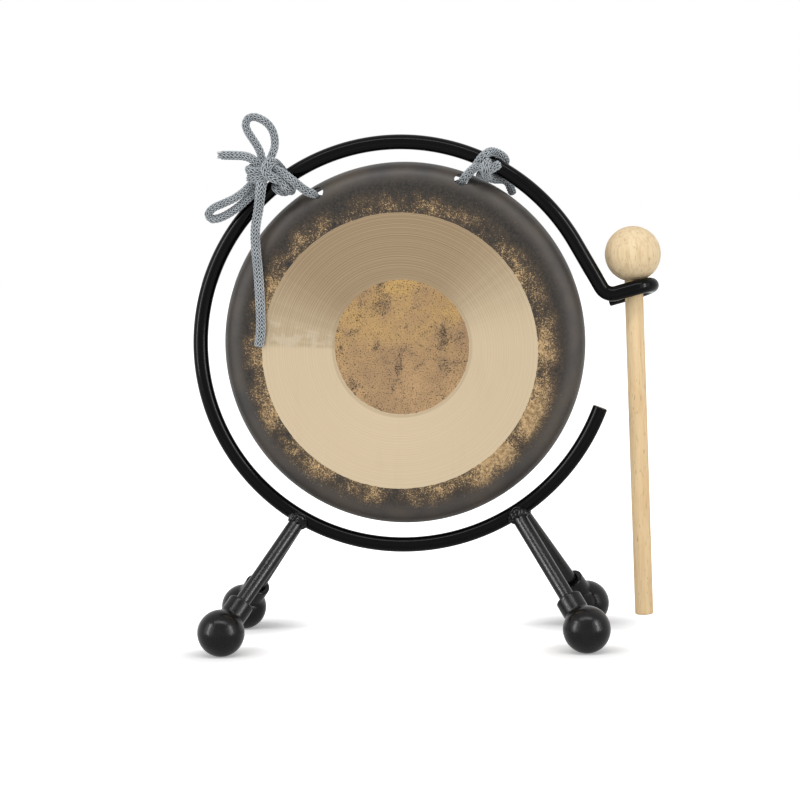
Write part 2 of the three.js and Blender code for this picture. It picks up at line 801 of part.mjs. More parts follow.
const LEGS = {
  front_left: legAxis(LEFT_LEG_AT, LEFT_FOOT_X, -FOOT_Y),
  front_right: legAxis(RIGHT_LEG_AT, RIGHT_FOOT_X, -FOOT_Y),
  rear_left: legAxis(LEFT_LEG_AT, LEFT_FOOT_X, FOOT_Y),
  rear_right: legAxis(RIGHT_LEG_AT + REAR_RIGHT_LEG_SHIFT, RIGHT_FOOT_X, FOOT_Y),
};

const gongStand = new THREE.Group();
gongStand.position.set(CENTRE_X, 0, RING_HEIGHT);
gongStand.add(frameRod());
for (const [corner, axis] of Object.entries(LEGS)) {
  gongStand.add(leg(`leg_${corner}`, axis));
  gongStand.add(weld(`weld_${corner}`, axis));
  gongStand.add(foot(`foot_${corner}`, axis));
}
gongStand.add(gong(), mallet(), ...cord());

const model = new THREE.Group();
model.add(gongStand);

export default model;
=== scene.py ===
import json
import math

import bmesh
import bpy
import numpy as np
from mathutils import Matrix, Vector

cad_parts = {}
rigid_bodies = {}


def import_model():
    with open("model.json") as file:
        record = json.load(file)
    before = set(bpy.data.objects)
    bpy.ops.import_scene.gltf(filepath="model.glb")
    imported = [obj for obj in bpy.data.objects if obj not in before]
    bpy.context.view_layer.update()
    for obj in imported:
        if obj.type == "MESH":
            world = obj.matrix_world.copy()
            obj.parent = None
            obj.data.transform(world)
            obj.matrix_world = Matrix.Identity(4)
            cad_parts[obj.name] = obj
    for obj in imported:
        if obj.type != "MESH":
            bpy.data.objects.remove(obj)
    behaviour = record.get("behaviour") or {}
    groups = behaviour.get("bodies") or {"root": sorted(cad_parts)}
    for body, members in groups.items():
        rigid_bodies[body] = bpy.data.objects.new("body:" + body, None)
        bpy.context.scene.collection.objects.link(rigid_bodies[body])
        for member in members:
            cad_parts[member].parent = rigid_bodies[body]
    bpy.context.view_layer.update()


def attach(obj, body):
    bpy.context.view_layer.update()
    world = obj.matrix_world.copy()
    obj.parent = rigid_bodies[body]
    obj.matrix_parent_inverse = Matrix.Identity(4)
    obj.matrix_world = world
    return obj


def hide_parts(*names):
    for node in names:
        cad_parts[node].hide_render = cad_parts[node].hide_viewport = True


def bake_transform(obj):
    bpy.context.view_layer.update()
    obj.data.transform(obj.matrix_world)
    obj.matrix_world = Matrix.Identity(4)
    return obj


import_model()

RNG = np.random.default_rng(7)

# Lengths are millimetres from the centre of the ring; row() lifts them into the row frame, in metres
MM = 0.001
CENTRE = np.array([-14.3162, 0.0, 164.3])


def row(points):
    return (np.asarray(points, float) + CENTRE) * MM


# Sizes of the stand. FIT is the gap between pieces, and SNUG the gap drawn round a rod in its bore
ROD = 4.1
RING = 110.9
FIT = 0.3
SPRUNG = 116.3
SPRUNG_FROM, SPRUNG_TO = -96.4, -21.1
HOOK_LEAVES = 29.0
HOOK_STRAIGHT, HOOK_BEND = 28.3, 7.0
HOOK_RISE, HOOK_DIP = 14.6, 7.6
HOOK_FRONT, HOOK_LOOP, HOOK_BACK = 9.7, 10.3, 14.6
LEG = 4.1
FOOT, FOOT_FLAT, FOOT_BORE = 12.8, 0.3, 16.0
COLLAR, COLLAR_TOP, COLLAR_CHAMFER = 7.2, 20.8, 0.9
LEFT_FOOT_X, RIGHT_FOOT_X, FOOT_Y = -97.4, 99.6, 43.9
LEFT_LEG_AT, RIGHT_LEG_AT, REAR_RIGHT_LEG_AT = 238.7, 301.7, 302.8
GONG_AT = np.array([1.8, -5.0, 0.4])
GONG, GONG_WALL, GONG_CROWN = 99.8, 1.2, 0.8
GONG_BEND, GONG_DEPTH, GONG_LEAN, GONG_EDGE = 11.0, 16.0, 2.5, 0.25
HOLE, HOLE_TILT, HOLES_AT, CUTTER_DEPTH = 3.9, 38.0, (118.6, 69.2), 6
HEAD, HANDLE = 15.3, 5.05
HEAD_BORE, HANDLE_LENGTH, MALLET_LEAN = 16.0, 200.0, 0.9
CORD = 2.4
SNUG = 0.12

scene = bpy.context.scene
scene.view_settings.view_transform = "Standard"


# Camera: fitted to the ring, the gong and the four feet in the photograph

CAMERA_AZIMUTH, CAMERA_ELEVATION, CAMERA_ROLL = 4.5179, 4.3449, -1.3536
CAMERA_TARGET = (-0.9043, 0.0, -30.6576)
CAMERA_DISTANCE = 1.3
FOCAL_PIXELS, PICTURE_PIXELS = 2357.608, 800.0
SENSOR_WIDTH = 36.0


def aim_camera():
    azimuth = math.radians(CAMERA_AZIMUTH)
    elevation = math.radians(CAMERA_ELEVATION)
    roll = math.radians(CAMERA_ROLL)
    back = Vector((
        math.sin(azimuth) * math.cos(elevation),
        -math.cos(azimuth) * math.cos(elevation),
        math.sin(elevation),
    ))
    right = Vector((math.cos(azimuth), math.sin(azimuth), 0.0))
    up = back.cross(right)
    c, s = math.cos(roll), math.sin(roll)
    right, up = right * c + up * s, up * c - right * s
    data = bpy.data.cameras.new("camera")
    data.sensor_width = SENSOR_WIDTH
    data.lens = FOCAL_PIXELS * SENSOR_WIDTH / PICTURE_PIXELS
    data.clip_start = 0.05
    data.clip_end = 30.0
    camera = bpy.data.objects.new("camera", data)
    scene.collection.objects.link(camera)
    basis = Matrix((right, up, back)).transposed().to_4x4()
    basis.translation = Vector(row(CAMERA_TARGET)) + back * CAMERA_DISTANCE
    camera.matrix_world = basis
    scene.camera = camera


aim_camera()


# Mesh helpers

def unit(v):
    return v / np.linalg.norm(v)


def polar(degrees, radius):
    a = math.radians(degrees)
    return np.array([radius * math.cos(a), 0.0, radius * math.sin(a)])


def catmull(points, spacing):
    """A smooth line through the points, sampled at even steps."""
    p = np.asarray(points, float)
    q = np.vstack([2 * p[0] - p[1], p, 2 * p[-1] - p[-2]])
    p0, p1, p2, p3 = q[:-3], q[1:-2], q[2:-1], q[3:]
    root = lambda a, b: np.sqrt(np.linalg.norm(b - a, axis=1))[:, None]
    t0 = np.zeros((len(p0), 1))
    t1 = t0 + root(p0, p1)
    t2 = t1 + root(p1, p2)
    t3 = t2 + root(p2, p3)
    runs = []
    for u in np.linspace(0, 1, 24, endpoint=False):
        t = t1 + (t2 - t1) * u
        a1 = (t1 - t) / (t1 - t0) * p0 + (t - t0) / (t1 - t0) * p1
        a2 = (t2 - t) / (t2 - t1) * p1 + (t - t1) / (t2 - t1) * p2
        a3 = (t3 - t) / (t3 - t2) * p2 + (t - t2) / (t3 - t2) * p3
        b1 = (t2 - t) / (t2 - t0) * a1 + (t - t0) / (t2 - t0) * a2
        b2 = (t3 - t) / (t3 - t1) * a2 + (t - t1) / (t3 - t1) * a3
        runs.append((t2 - t) / (t2 - t1) * b1 + (t - t1) / (t2 - t1) * b2)
    line = np.vstack([np.stack(runs, 1).reshape(-1, 3), p[-1]])
    return even(line, spacing)


def lengths(line):
    return np.r_[0.0, np.cumsum(np.linalg.norm(np.diff(line, axis=0), axis=1))]


def even(line, spacing):
    run = lengths(line)
    count = max(2, int(round(run[-1] / spacing)) + 1)
    at = np.linspace(0, run[-1], count)
    return np.stack([np.interp(at, run, line[:, k]) for k in range(3)], 1)


def frames(line):
    """Tangent and two cross directions at each point, carried along without twist."""
    tangent = np.gradient(line, axis=0)
    tangent /= np.linalg.norm(tangent, axis=1)[:, None]
    first = np.array([0.0, 1.0, 0.0]) if abs(tangent[0][1]) < 0.9 else np.array([1.0, 0.0, 0.0])
    side = unit(first - tangent[0] * (first @ tangent[0]))
    sides = [side]
    for t in tangent[1:]:
        side = unit(side - t * (side @ t))
        sides.append(side)
    sides = np.array(sides)
    return tangent, sides, np.cross(tangent, sides)


def shade_smooth(mesh):
    mesh.polygons.foreach_set("use_smooth", [True] * len(mesh.polygons))


def add_object(name, vertices, faces, matrix=None):
    mesh = bpy.data.meshes.new(name)
    mesh.from_pydata([tuple(v) for v in vertices], [], faces)
    mesh.update()
    mesh.validate()
    shade_smooth(mesh)
    obj = bpy.data.objects.new(name, mesh)
    scene.collection.objects.link(obj)
    if matrix is not None:
        obj.matrix_world = matrix
    return obj


def add_values(obj, name, values):
    """One value for each vertex, which a material can read."""
    attribute = obj.data.attributes.new(name, "FLOAT", "POINT")
    attribute.data.foreach_set("value", np.asarray(values, np.float32))


def grid_faces(rings, sides):
    i, j = np.meshgrid(np.arange(rings - 1), np.arange(sides), indexing="ij")
    a = i * sides + j
    b = i * sides + (j + 1) % sides
    return np.stack([a, b, b + sides, a + sides], -1).reshape(-1, 4).tolist()


def tube_mesh(line, radii, wide=1.0, deep=1.0):
    """Vertices and faces of a tube; radii holds one radius for each point and side."""
    rings, sides = radii.shape
    _, across, over = frames(line)
    across = across * deep
    over = over * np.broadcast_to(wide, rings)[:, None]
    angle = np.linspace(0, 2 * math.pi, sides, endpoint=False)
    spokes = across[:, None] * np.cos(angle)[None, :, None] + over[:, None] * np.sin(angle)[None, :, None]
    vertices = (line[:, None] + spokes * radii[:, :, None]).reshape(-1, 3)
    faces = grid_faces(rings, sides)
    start, end = len(vertices), len(vertices) + 1
    vertices = np.vstack([vertices, line[0], line[-1]])
    last = (rings - 1) * sides
    faces += [[start, (j + 1) % sides, j] for j in range(sides)]
    faces += [[end, last + j, last + (j + 1) % sides] for j in range(sides)]
    return vertices, faces


def with_ends(line, reach):
    """Extra stations close to both ends, where a chamfer needs them."""
    run = lengths(line)
    steps = reach * (1 - np.cos(np.linspace(0, math.pi / 2, 7)))
    at = np.r_[steps, run[(run > reach * 1.05) & (run < run[-1] - reach * 1.05)], (run[-1] - steps)[::-1]]
    points = np.stack([np.interp(at, run, line[:, k]) for k in range(3)], 1)
    return points, at


def rod(name, line, radius, sides, start, end):
    """A round bar along a line, with a chamfer of its own size at each end."""
    points, at = with_ends(line, max(start, end))

    def factor(distance, size):
        return 1 - (1 - np.clip(distance / size, 0, 1)) * size / radius

    shrink = np.minimum(factor(at, start), factor(at[-1] - at, end))
    radii = radius * np.repeat(shrink[:, None], sides, 1)
    vertices, faces = tube_mesh(points, radii)
    return add_object(name, row(vertices), faces)


def lathe(name, profile, sides, matrix=None):
    """Revolves (radius, along) pairs about local Z, in millimetres."""
    vertices, rings = [], []
    for radius, along in profile:
        if radius < 1e-6:
            rings.append([len(vertices)])
            vertices.append((0, 0, along * MM))
            continue
        rings.append(list(range(len(vertices), len(vertices) + sides)))
        for j in range(sides):
            a = 2 * math.pi * j / sides
            vertices.append((radius * MM * math.cos(a), radius * MM * math.sin(a), along * MM))
    faces = []
    for low, high in zip(rings, rings[1:]):
        for j in range(sides):
            k = (j + 1) % sides
            if len(low) == 1 and len(high) > 1:
                faces.append([low[0], high[k], high[j]])
            elif len(high) == 1 and len(low) > 1:
                faces.append([low[j], low[k], high[0]])
            elif len(low) > 1:
                faces.append([low[j], low[k], high[k], high[j]])
    return add_object(name, vertices, faces, matrix)


def finished(obj, material, slot, body, *nodes):
    obj.data.materials.append(material)
    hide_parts(*nodes)
    if body:
        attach(obj, body)
    return obj


def along_axis(origin, direction):
    """A matrix that stands local Z along a direction, from a point in ring millimetres."""
    turn = Vector((0, 0, 1)).rotation_difference(Vector(direction)).to_matrix().to_4x4()
    turn.translation = Vector(row(origin))
    return turn


# Materials

class Nodes:
    """A material's node tree. Inputs are given by name, or by number as i0 and i1."""

    def __init__(self, name):
        self.material = bpy.data.materials.new(name)
        self.material.use_nodes = True
        self.tree = self.material.node_tree
        self.shader = self.tree.nodes["Principled BSDF"]

    def set(self, **values):
        for key, value in values.items():
            self.shader.inputs[key.replace("_", " ")].default_value = value

    def fill(self, socket, value):
        if isinstance(value, bpy.types.NodeSocket):
            self.tree.links.new(value, socket)
        else:
            socket.default_value = value

    def add(self, kind, props=None, **inputs):
        node = self.tree.nodes.new("ShaderNode" + kind)
        for key, value in (props or {}).items():
            setattr(node, key, value)
        for key, value in inputs.items():
            numbered = key[0] == "i" and key[1:].isdigit()
            self.fill(node.inputs[int(key[1:]) if numbered else key.replace("_", " ")], value)
        return node

    def link(self, output, name):
        self.tree.links.new(output, self.shader.inputs[name])

    def math(self, operation, a, b=0.0):
        return self.add("Math", {"operation": operation}, i0=a, i1=b).outputs[0]

    def vector(self, operation, a, b=(0, 0, 0)):
        node = self.add("VectorMath", {"operation": operation}, i0=a, i1=b)
        return node.outputs["Value"] if operation == "LENGTH" else node.outputs[0]

    def scaled(self, vector, scale):
        return self.vector("MULTIPLY", vector, scale)

    def place(self):
        return self.add("TexCoord").outputs["Object"]

    def noise(self, vector, scale, detail=2.0, rough=0.5, distortion=0.0):
        return self.add("TexNoise", None, Vector=vector, Scale=scale, Detail=detail,
                        Roughness=rough, Distortion=distortion).outputs["Fac"]

    def noise_line(self, value, scale, detail, rough):
        return self.add("TexNoise", {"noise_dimensions": "1D"}, W=value, Scale=scale,
                        Detail=detail, Roughness=rough).outputs["Fac"]

    def ramp(self, value, low, high, to_low=0.0, to_high=1.0, kind="SMOOTHSTEP"):
        return self.add("MapRange", {"interpolation_type": kind}, Value=value, From_Min=low,
                        From_Max=high, To_Min=to_low, To_Max=to_high).outputs[0]

    def mix(self, factor, a, b):
        node = self.add("Mix", {"data_type": "RGBA"}, i0=factor)
        for socket, value in ((node.inputs[6], a), (node.inputs[7], b)):
            self.fill(socket, value if isinstance(value, bpy.types.NodeSocket) else (*value, 1.0))
        return node.outputs[2]

    def bump(self, height, distance, strength=1.0):
        return self.add("Bump", None, Height=height, Distance=distance, Strength=strength).outputs[0]


def paint(name, base, level, peel, rough):
    """Glossy black paint; the attribute "bare" shows cut steel."""
    n = Nodes(name)
    at = n.place()
    n.set(IOR=1.5, Specular_IOR_Level=level)
    bare = n.add("Attribute", {"attribute_name": "bare"}).outputs["Fac"]
    dust = n.ramp(n.noise(at, 900.0, 3.0, 0.7), 0.60, 0.78)
    black = n.mix(n.math("MULTIPLY", dust, 0.5), (base, base, base * 1.1), (base * 4, base * 4, base * 4))
    n.link(n.mix(bare, black, (0.13, 0.085, 0.058)), "Base Color")
    wander = n.noise(at, 60.0, 2.0)
    skin = n.noise(at, 700.0, 3.0, 0.55)
    height = n.math("ADD", n.math("MULTIPLY", wander, 0.35), n.math("MULTIPLY", skin, peel))
    n.link(n.bump(height, 0.00018), "Normal")
    n.link(n.ramp(n.noise(at, 130.0, 3.0), 0.3, 0.75, rough - 0.05, rough + 0.09), "Roughness")
    return n.material


def rubber(name):
    """Black rubber with a fine grain and a few pale specks."""
    n = Nodes(name)
    at = n.place()
    n.set(IOR=1.5, Specular_IOR_Level=0.19)
    blot = n.noise(at, 90.0, 4.0, 0.6)
    speck = n.ramp(n.noise(at, 1300.0, 2.0, 0.6), 0.66, 0.76)
    skin = n.mix(n.ramp(blot, 0.35, 0.7), (0.0042, 0.0040, 0.0045), (0.0085, 0.0082, 0.009))
    n.link(n.mix(n.math("MULTIPLY", speck, 0.5), skin, (0.04, 0.039, 0.041)), "Base Color")
    n.link(n.ramp(n.noise(at, 240.0, 3.0), 0.3, 0.7, 0.13, 0.24), "Roughness")
    grain = n.noise(at, 1900.0, 2.0)
    n.link(n.bump(n.math("ADD", grain, n.math("MULTIPLY", blot, 2.0)), 0.00005), "Normal")
    return n.material


def wood(name, light, tan, brown):
    """Pale wood with fine upright fibres and dark pores."""
    n = Nodes(name)
    at = n.place()
    n.set(Specular_IOR_Level=0.3)
    bend = n.math("MULTIPLY", n.noise(at, 30.0, 2.0), 0.004)
    place = n.vector("ADD", at, n.add("CombineXYZ", None, X=bend, Y=bend, Z=0.0).outputs[0])
    fibres = n.noise(n.scaled(place, (520.0, 520.0, 17.0)), 1.0, 3.0, 0.6)
    fine = n.noise(n.scaled(place, (1500.0, 1500.0, 55.0)), 1.0, 2.0, 0.6)
    broad = n.noise(n.scaled(place, (80.0, 80.0, 8.0)), 1.0, 2.0, 0.5)
    pores = n.noise(n.scaled(place, (1500.0, 1500.0, 170.0)), 1.0, 1.0, 0.4)
    colour = n.mix(n.ramp(broad, 0.3, 0.7), tan, light)
    colour = n.mix(n.math("MULTIPLY", n.ramp(fibres, 0.42, 0.72), 0.62), colour, brown)
    colour = n.mix(n.math("MULTIPLY", n.ramp(fine, 0.5, 0.75), 0.34), colour, [0.86 * c for c in brown])
    pits = n.ramp(pores, 0.66, 0.74)
    colour = n.mix(n.math("MULTIPLY", pits, 0.6), colour, (0.36, 0.21, 0.09))
    n.link(colour, "Base Color")
    n.link(n.ramp(fibres, 0.3, 0.7, 0.5, 0.66), "Roughness")
    height = n.math("SUBTRACT", n.math("MULTIPLY", fine, 0.5), pits)
    n.link(n.bump(height, 0.00012, 0.7), "Normal")
    return n.material


def knit(name):
    """Grey yarn; the attribute "relief" sets painted shade, dark in the gaps between the stitches."""
    n = Nodes(name)
    at = n.place()
    n.set(Roughness=0.88, Specular_IOR_Level=0.2, Sheen_Weight=0.12, Sheen_Roughness=0.5)
    relief = n.add("Attribute", {"attribute_name": "relief"}).outputs["Fac"]
    hair = n.noise(at, 2600.0, 3.0, 0.7)
    tint = n.noise(at, 160.0, 2.0)
    yarn = n.mix(n.ramp(tint, 0.3, 0.7), (0.405, 0.44, 0.465), (0.50, 0.535, 0.56))
    yarn = n.mix(n.math("MULTIPLY", n.ramp(hair, 0.5, 0.75), 0.5), yarn, (0.22, 0.24, 0.26))
    # Painted shade: near black in the gaps between the stitches, from the relief
    n.link(n.mix(n.ramp(relief, 0.26, 0.72), (0.020, 0.023, 0.026), yarn), "Base Color")
    n.link(n.bump(hair, 0.00018, 0.8), "Normal")
    return n.material


# Patches of gold on the gong's patina: angle, radius and reach in millimetres, and strength
PATCHES = [
    (155, 83, 25, 0.6), (128, 84, 23, 0.4), (103, 83, 24, 0.3), (78, 82, 22, 0.2), (54, 83, 24, 0.45),
    (26, 84, 26, 0.8), (0, 85, 28, 1.15), (-28, 86, 33, 1.9), (-54, 86, 33, 1.9), (-82, 85, 24, 0.7),
    (-106, 83, 22, 0.45), (-130, 84, 26, 0.9), (-156, 83, 26, 0.95), (-179, 82, 20, 0.75),
]


def patina(n, at, on_face, gong_r, ring_r, front):
    """Dark skin, brown haze and gold specks, which lie in patches round the lathed ring."""
    patch = 0.0
    for degrees, radius, reach, strength in PATCHES:
        away = n.vector("LENGTH", n.vector("SUBTRACT", on_face, tuple(polar(degrees, radius * MM))))
        near = n.math("MULTIPLY", n.ramp(away, reach * MM, 0.1 * reach * MM), strength)
        patch = n.math("MAXIMUM", patch, near)
    cloud = n.math("SUBTRACT", n.noise(at, 75.0, 4.0, 0.62), 0.5)
    grit = n.math("SUBTRACT", n.noise(at, 260.0, 3.0, 0.65), 0.5)
    band = n.math("MULTIPLY", n.ramp(ring_r, 0.0965, 0.0790), n.ramp(gong_r, 0.0965, 0.0900))
    density = n.math("ADD", n.math("MULTIPLY", patch, 0.40), n.math("MULTIPLY", cloud, 1.7))
    density = n.math("ADD", density, n.math("MULTIPLY", grit, 0.7))
    density = n.math("MULTIPLY", n.math("ADD", density, 0.36), band)
    speck = n.math("ADD", n.math("MULTIPLY", n.noise(at, 1500.0, 3.0, 0.75), 0.6),
                   n.math("MULTIPLY", n.noise(at, 800.0, 3.0, 0.75), 0.4))
    edge = n.ramp(density, 0.0, 1.0, 0.645, 0.425, kind="LINEAR")
    specks = n.math("MULTIPLY", n.ramp(n.math("SUBTRACT", speck, edge), 0.0, 0.035), band)
    stray = n.ramp(n.noise(at, 820.0, 2.0, 0.5), 0.73, 0.77)
    stray = n.math("MULTIPLY", stray, n.ramp(gong_r, 0.0985, 0.094))
    specks = n.math("MAXIMUM", specks, n.math("MULTIPLY", n.math("MULTIPLY", stray, 0.6), front))
    grime = n.noise(at, 650.0, 4.0, 0.7)
    skin = n.mix(n.ramp(grime, 0.3, 0.75), (0.008, 0.007, 0.0063), (0.050, 0.042, 0.035))
    haze = n.math("MULTIPLY", n.ramp(density, 0.05, 0.75), 0.62)
    skin = n.mix(haze, skin, (0.115, 0.078, 0.045))
    broad = n.ramp(n.noise(at, 45.0, 3.0), 0.3, 0.7)
    edge_tone = n.mix(broad, (0.052, 0.048, 0.046), (0.088, 0.072, 0.058))
    skin = n.mix(n.ramp(gong_r, 0.0860, 0.0935), skin, edge_tone)
    gold = n.mix(n.ramp(n.noise(at, 420.0, 2.0), 0.3, 0.7), (0.29, 0.19, 0.095), (0.60, 0.42, 0.225))
    return n.mix(specks, skin, gold), specks, speck


def lathed_brass(n, at, from_ring, ring_r, disc_r):
    """Fine grooves under a painted sheen, bright below and dark above, with a sharp change on the left.
    """
    turn = n.add("SeparateXYZ", None, Vector=from_ring)
    angle = n.math("ARCTAN2", turn.outputs[2], turn.outputs[0])
    # Painted sheen: a lobe above is painted dark and the rest of the ring bright, with radial streaks;
    # the cut lines are darker inside that lobe
    sheen_streak = n.noise_line(angle, 12.0, 4.0, 0.65)
    swayed = n.math("ADD", angle, n.math("MULTIPLY", n.math("SUBTRACT", sheen_streak, 0.5), 0.22))
    painted_dark_lobe = n.math("MULTIPLY", n.ramp(swayed, 0.05, 1.12), n.ramp(swayed, 2.35, 3.0, 1.0, 0.45))
    painted_dark_lobe = n.math("MULTIPLY", painted_dark_lobe, n.ramp(swayed, 3.02, 3.13, 1.0, 0.0))
    lines = n.noise_line(ring_r, 1900.0, 1.0, 0.5)
    fine = n.noise_line(ring_r, 3600.0, 1.0, 0.5)
    cut = n.math("ADD", n.math("MULTIPLY", lines, 0.6), n.math("MULTIPLY", fine, 0.4))
    brass = n.mix(painted_dark_lobe, (0.600, 0.485, 0.328), (0.345, 0.251, 0.153))
    depth = n.math("ADD", 0.07, n.math("MULTIPLY", painted_dark_lobe, 0.30))
    brass = n.mix(n.math("MULTIPLY", n.ramp(cut, 0.47, 0.62), depth), brass, (0.17, 0.115, 0.06))
    brass = n.mix(n.math("MULTIPLY", n.ramp(cut, 0.50, 0.38), 0.12), brass, (0.86, 0.73, 0.55))
    # Painted highlight: a pale flare on the left, beside the sharp change of the painted sheen
    flare = n.math("MULTIPLY", n.ramp(swayed, 2.86, 2.95), n.ramp(swayed, 3.12, 3.03))
    flare = n.math("MULTIPLY", flare, n.ramp(n.noise(at, 150.0, 2.0), 0.42, 0.62))
    brass = n.mix(n.math("MULTIPLY", flare, 0.22), brass, (0.80, 0.72, 0.58))
    smear = n.noise(n.scaled(at, (130.0, 1.0, 22.0)), 1.0, 3.0, 0.6)
    brass = n.mix(n.math("MULTIPLY", n.ramp(smear, 0.54, 0.75), 0.05), brass, (0.30, 0.22, 0.14))
    # Painted shade: a darker ring where the lathed ring meets the disc, the shading of a shallow ridge
    # there
    lip = n.math("MULTIPLY", n.ramp(disc_r, 0.0392, 0.0382), n.ramp(disc_r, 0.0368, 0.0376))
    brass = n.mix(n.math("MULTIPLY", lip, 0.4), brass, (0.36, 0.27, 0.17))
    return brass, cut


def rough_disc(n, at):
    """Gold with dark dots, smudges and scratches."""
    worn = n.noise(at, 70.0, 4.0, 0.65, 0.6)
    fleck = n.noise(at, 1350.0, 3.0, 0.7)
    smudge = n.ramp(worn, 0.50, 0.70)
    height_on = n.add("SeparateXYZ", None, Vector=at).outputs[2]
    disc = n.mix(n.ramp(height_on, -0.03, 0.034), (0.475, 0.312, 0.165), (0.51, 0.33, 0.125))
    disc = n.mix(n.ramp(n.noise(at, 45.0, 3.0, 0.6), 0.32, 0.68), disc, (0.36, 0.235, 0.13))
    slant = n.add("Mapping", None, Vector=at, Rotation=(0.0, 0.75, 0.0)).outputs[0]
    scratch = n.noise(n.scaled(slant, (900.0, 1.0, 70.0)), 1.0, 3.0, 0.6)
    disc = n.mix(n.math("MULTIPLY", n.ramp(scratch, 0.56, 0.72), 0.35), disc, (0.26, 0.165, 0.09))
    disc = n.mix(n.math("MULTIPLY", smudge, 0.60), disc, (0.235, 0.165, 0.11))
    grains = n.ramp(n.noise(at, 2100.0, 2.0), 0.48, 0.66)
    disc = n.mix(n.math("MULTIPLY", grains, 0.38), disc, (0.27, 0.18, 0.10))
    dots = n.ramp(n.math("ADD", fleck, n.math("MULTIPLY", smudge, 0.10)), 0.555, 0.63)
    blots = n.math("ADD", n.noise(at, 620.0, 3.0, 0.7), n.math("MULTIPLY", smudge, 0.05))
    dots = n.math("MAXIMUM", dots, n.ramp(blots, 0.635, 0.675))
    return n.mix(n.math("MULTIPLY", dots, 0.88), disc, (0.040, 0.030, 0.022)), fleck


def bronze(name):
    """The gong: patina, a lathed ring and a rough disc, by place on its face."""
    n = Nodes(name)
    at = n.place()
    n.set(Specular_IOR_Level=0.3, Anisotropic=0.4)
    flat = (1.0, 0.0, 1.0)
    on_face = n.scaled(at, flat)
    gong_r = n.vector("LENGTH", on_face)
    from_ring = n.scaled(n.vector("SUBTRACT", at, (-0.0020, 0.0, -0.0038)), flat)
    ring_r = n.vector("LENGTH", from_ring)
    disc_r = n.vector("LENGTH", n.scaled(n.vector("SUBTRACT", at, (-0.0006, 0.0, -0.0016)), flat))
    wobble = n.math("MULTIPLY", n.math("SUBTRACT", n.noise(at, 300.0, 3.0), 0.5), 0.0009)
    front = n.ramp(n.add("SeparateXYZ", None, Vector=at).outputs[1], 0.0004, 0.0002)
    in_ring = n.math("MULTIPLY", n.ramp(n.math("ADD", ring_r, wobble), 0.0760, 0.0757), front)
    in_disc = n.math("MULTIPLY", n.ramp(n.math("ADD", disc_r, wobble), 0.0372, 0.0368), front)
    skin, specks, speck = patina(n, at, on_face, gong_r, ring_r, front)
    brass, cut = lathed_brass(n, at, from_ring, ring_r, disc_r)
    disc, fleck = rough_disc(n, at)

    n.link(n.mix(in_disc, n.mix(in_ring, skin, brass), disc), "Base Color")
    n.link(n.math("MULTIPLY", n.math("MAXIMUM", in_ring, specks), 0.92), "Metallic")
    rough = n.mix(in_ring, (0.46, 0.46, 0.46), (0.36, 0.36, 0.36))
    n.link(n.mix(in_disc, rough, (0.48, 0.48, 0.48)), "Roughness")

    off_ring = n.math("SUBTRACT", 1.0, in_ring)
    grain = n.math("MULTIPLY", n.math("ADD", speck, n.noise(at, 420.0, 3.0)), off_ring)
    grain = n.math("MULTIPLY", grain, n.ramp(gong_r, 0.094, 0.088, 0.25, 1.0))
    grooves = n.math("MULTIPLY", cut, n.math("SUBTRACT", in_ring, in_disc))
    height = n.math("ADD", n.math("MULTIPLY", grain, 0.8), n.math("MULTIPLY", grooves, 0.35))
    height = n.math("ADD", height, n.math("MULTIPLY", in_disc, n.math("MULTIPLY", fleck, 0.6)))
    n.link(n.bump(height, 0.00008), "Normal")
    tangent = n.add("Tangent", {"direction_type": "RADIAL", "axis": "Y"})
    n.link(tangent.outputs[0], "Tangent")
    return n.material


PAINT = paint("black_paint", 0.0010, 0.095, 0.12, 0.11)
LEG_PAINT = paint("leg_paint", 0.0045, 0.26, 0.50, 0.18)
WELD_PAINT = paint("weld_paint", 0.0016, 0.18, 0.60, 0.12)
RUBBER = rubber("foot_rubber")
BALL_WOOD = wood("ball_wood", (0.86, 0.69, 0.44), (0.80, 0.615, 0.37), (0.66, 0.455, 0.24))
DOWEL_WOOD = wood("dowel_wood", (0.87, 0.665, 0.39), (0.81, 0.595, 0.335), (0.70, 0.46, 0.235))
KNIT = knit("knitted_cord")
BRONZE = bronze("gong_bronze")


# Cord: a knitted tube. Each rib round it is a column of V-shaped stitches, and each V is a
# pair of slanting legs

RIBS = 5
STITCH = 2.15
PER_RIB = 18
PER_STITCH = 12
YARN_SINKS, YARN_RISES = 0.78, 0.92
START_ROUND = 1.2


def knitted(name, route, end_round=1.2, phase=0.0, wide=1.0, deep=1.0, girth=1.0, spin=0.0):
    """A knitted cord along a route in ring millimetres; gives the object and its centre line."""
    line = catmull(route, STITCH / PER_STITCH)
    run = lengths(line)
    sides = RIBS * PER_RIB
    angle = np.arange(sides) / PER_RIB + spin * RIBS / 360
    rib = np.floor(angle)
    x = np.abs((angle - rib) - 0.5) / 0.5
    s = run[:, None] / STITCH + phase
    jitter = 0.06 * np.sin(0.9 * s + 2.1 * rib[None, :]) + 0.04 * np.sin(2.3 * s + 1.3 * rib[None, :])
    wave = (s + jitter + 1.2 * x[None, :]) % 1.0
    arch = np.sin(math.pi * x)
    stitch = 1 - np.abs(2 * wave - 1) ** (0.85 + 1.25 * arch[None, :])
    relief = (0.74 + 0.26 * arch[None, :]) * (0.1 + 0.9 * stitch)
    if callable(girth):
        girth = girth(run)[:, None]
    radii = (CORD - YARN_SINKS + YARN_RISES * relief) * girth
    for distance, size in ((run, START_ROUND), (run[-1] - run, end_round)):
        near = np.clip(distance / size, 0, 1)
        radii = radii * (0.45 + 0.55 * np.sqrt(1 - (1 - near) ** 2))[:, None]
    if callable(wide):
        wide = wide(run)
    vertices, faces = tube_mesh(line, radii, wide, deep)
    obj = add_object(name, row(vertices), faces)
    add_values(obj, "relief", np.r_[relief.reshape(-1), 0.2, 0.2])
    return obj, line


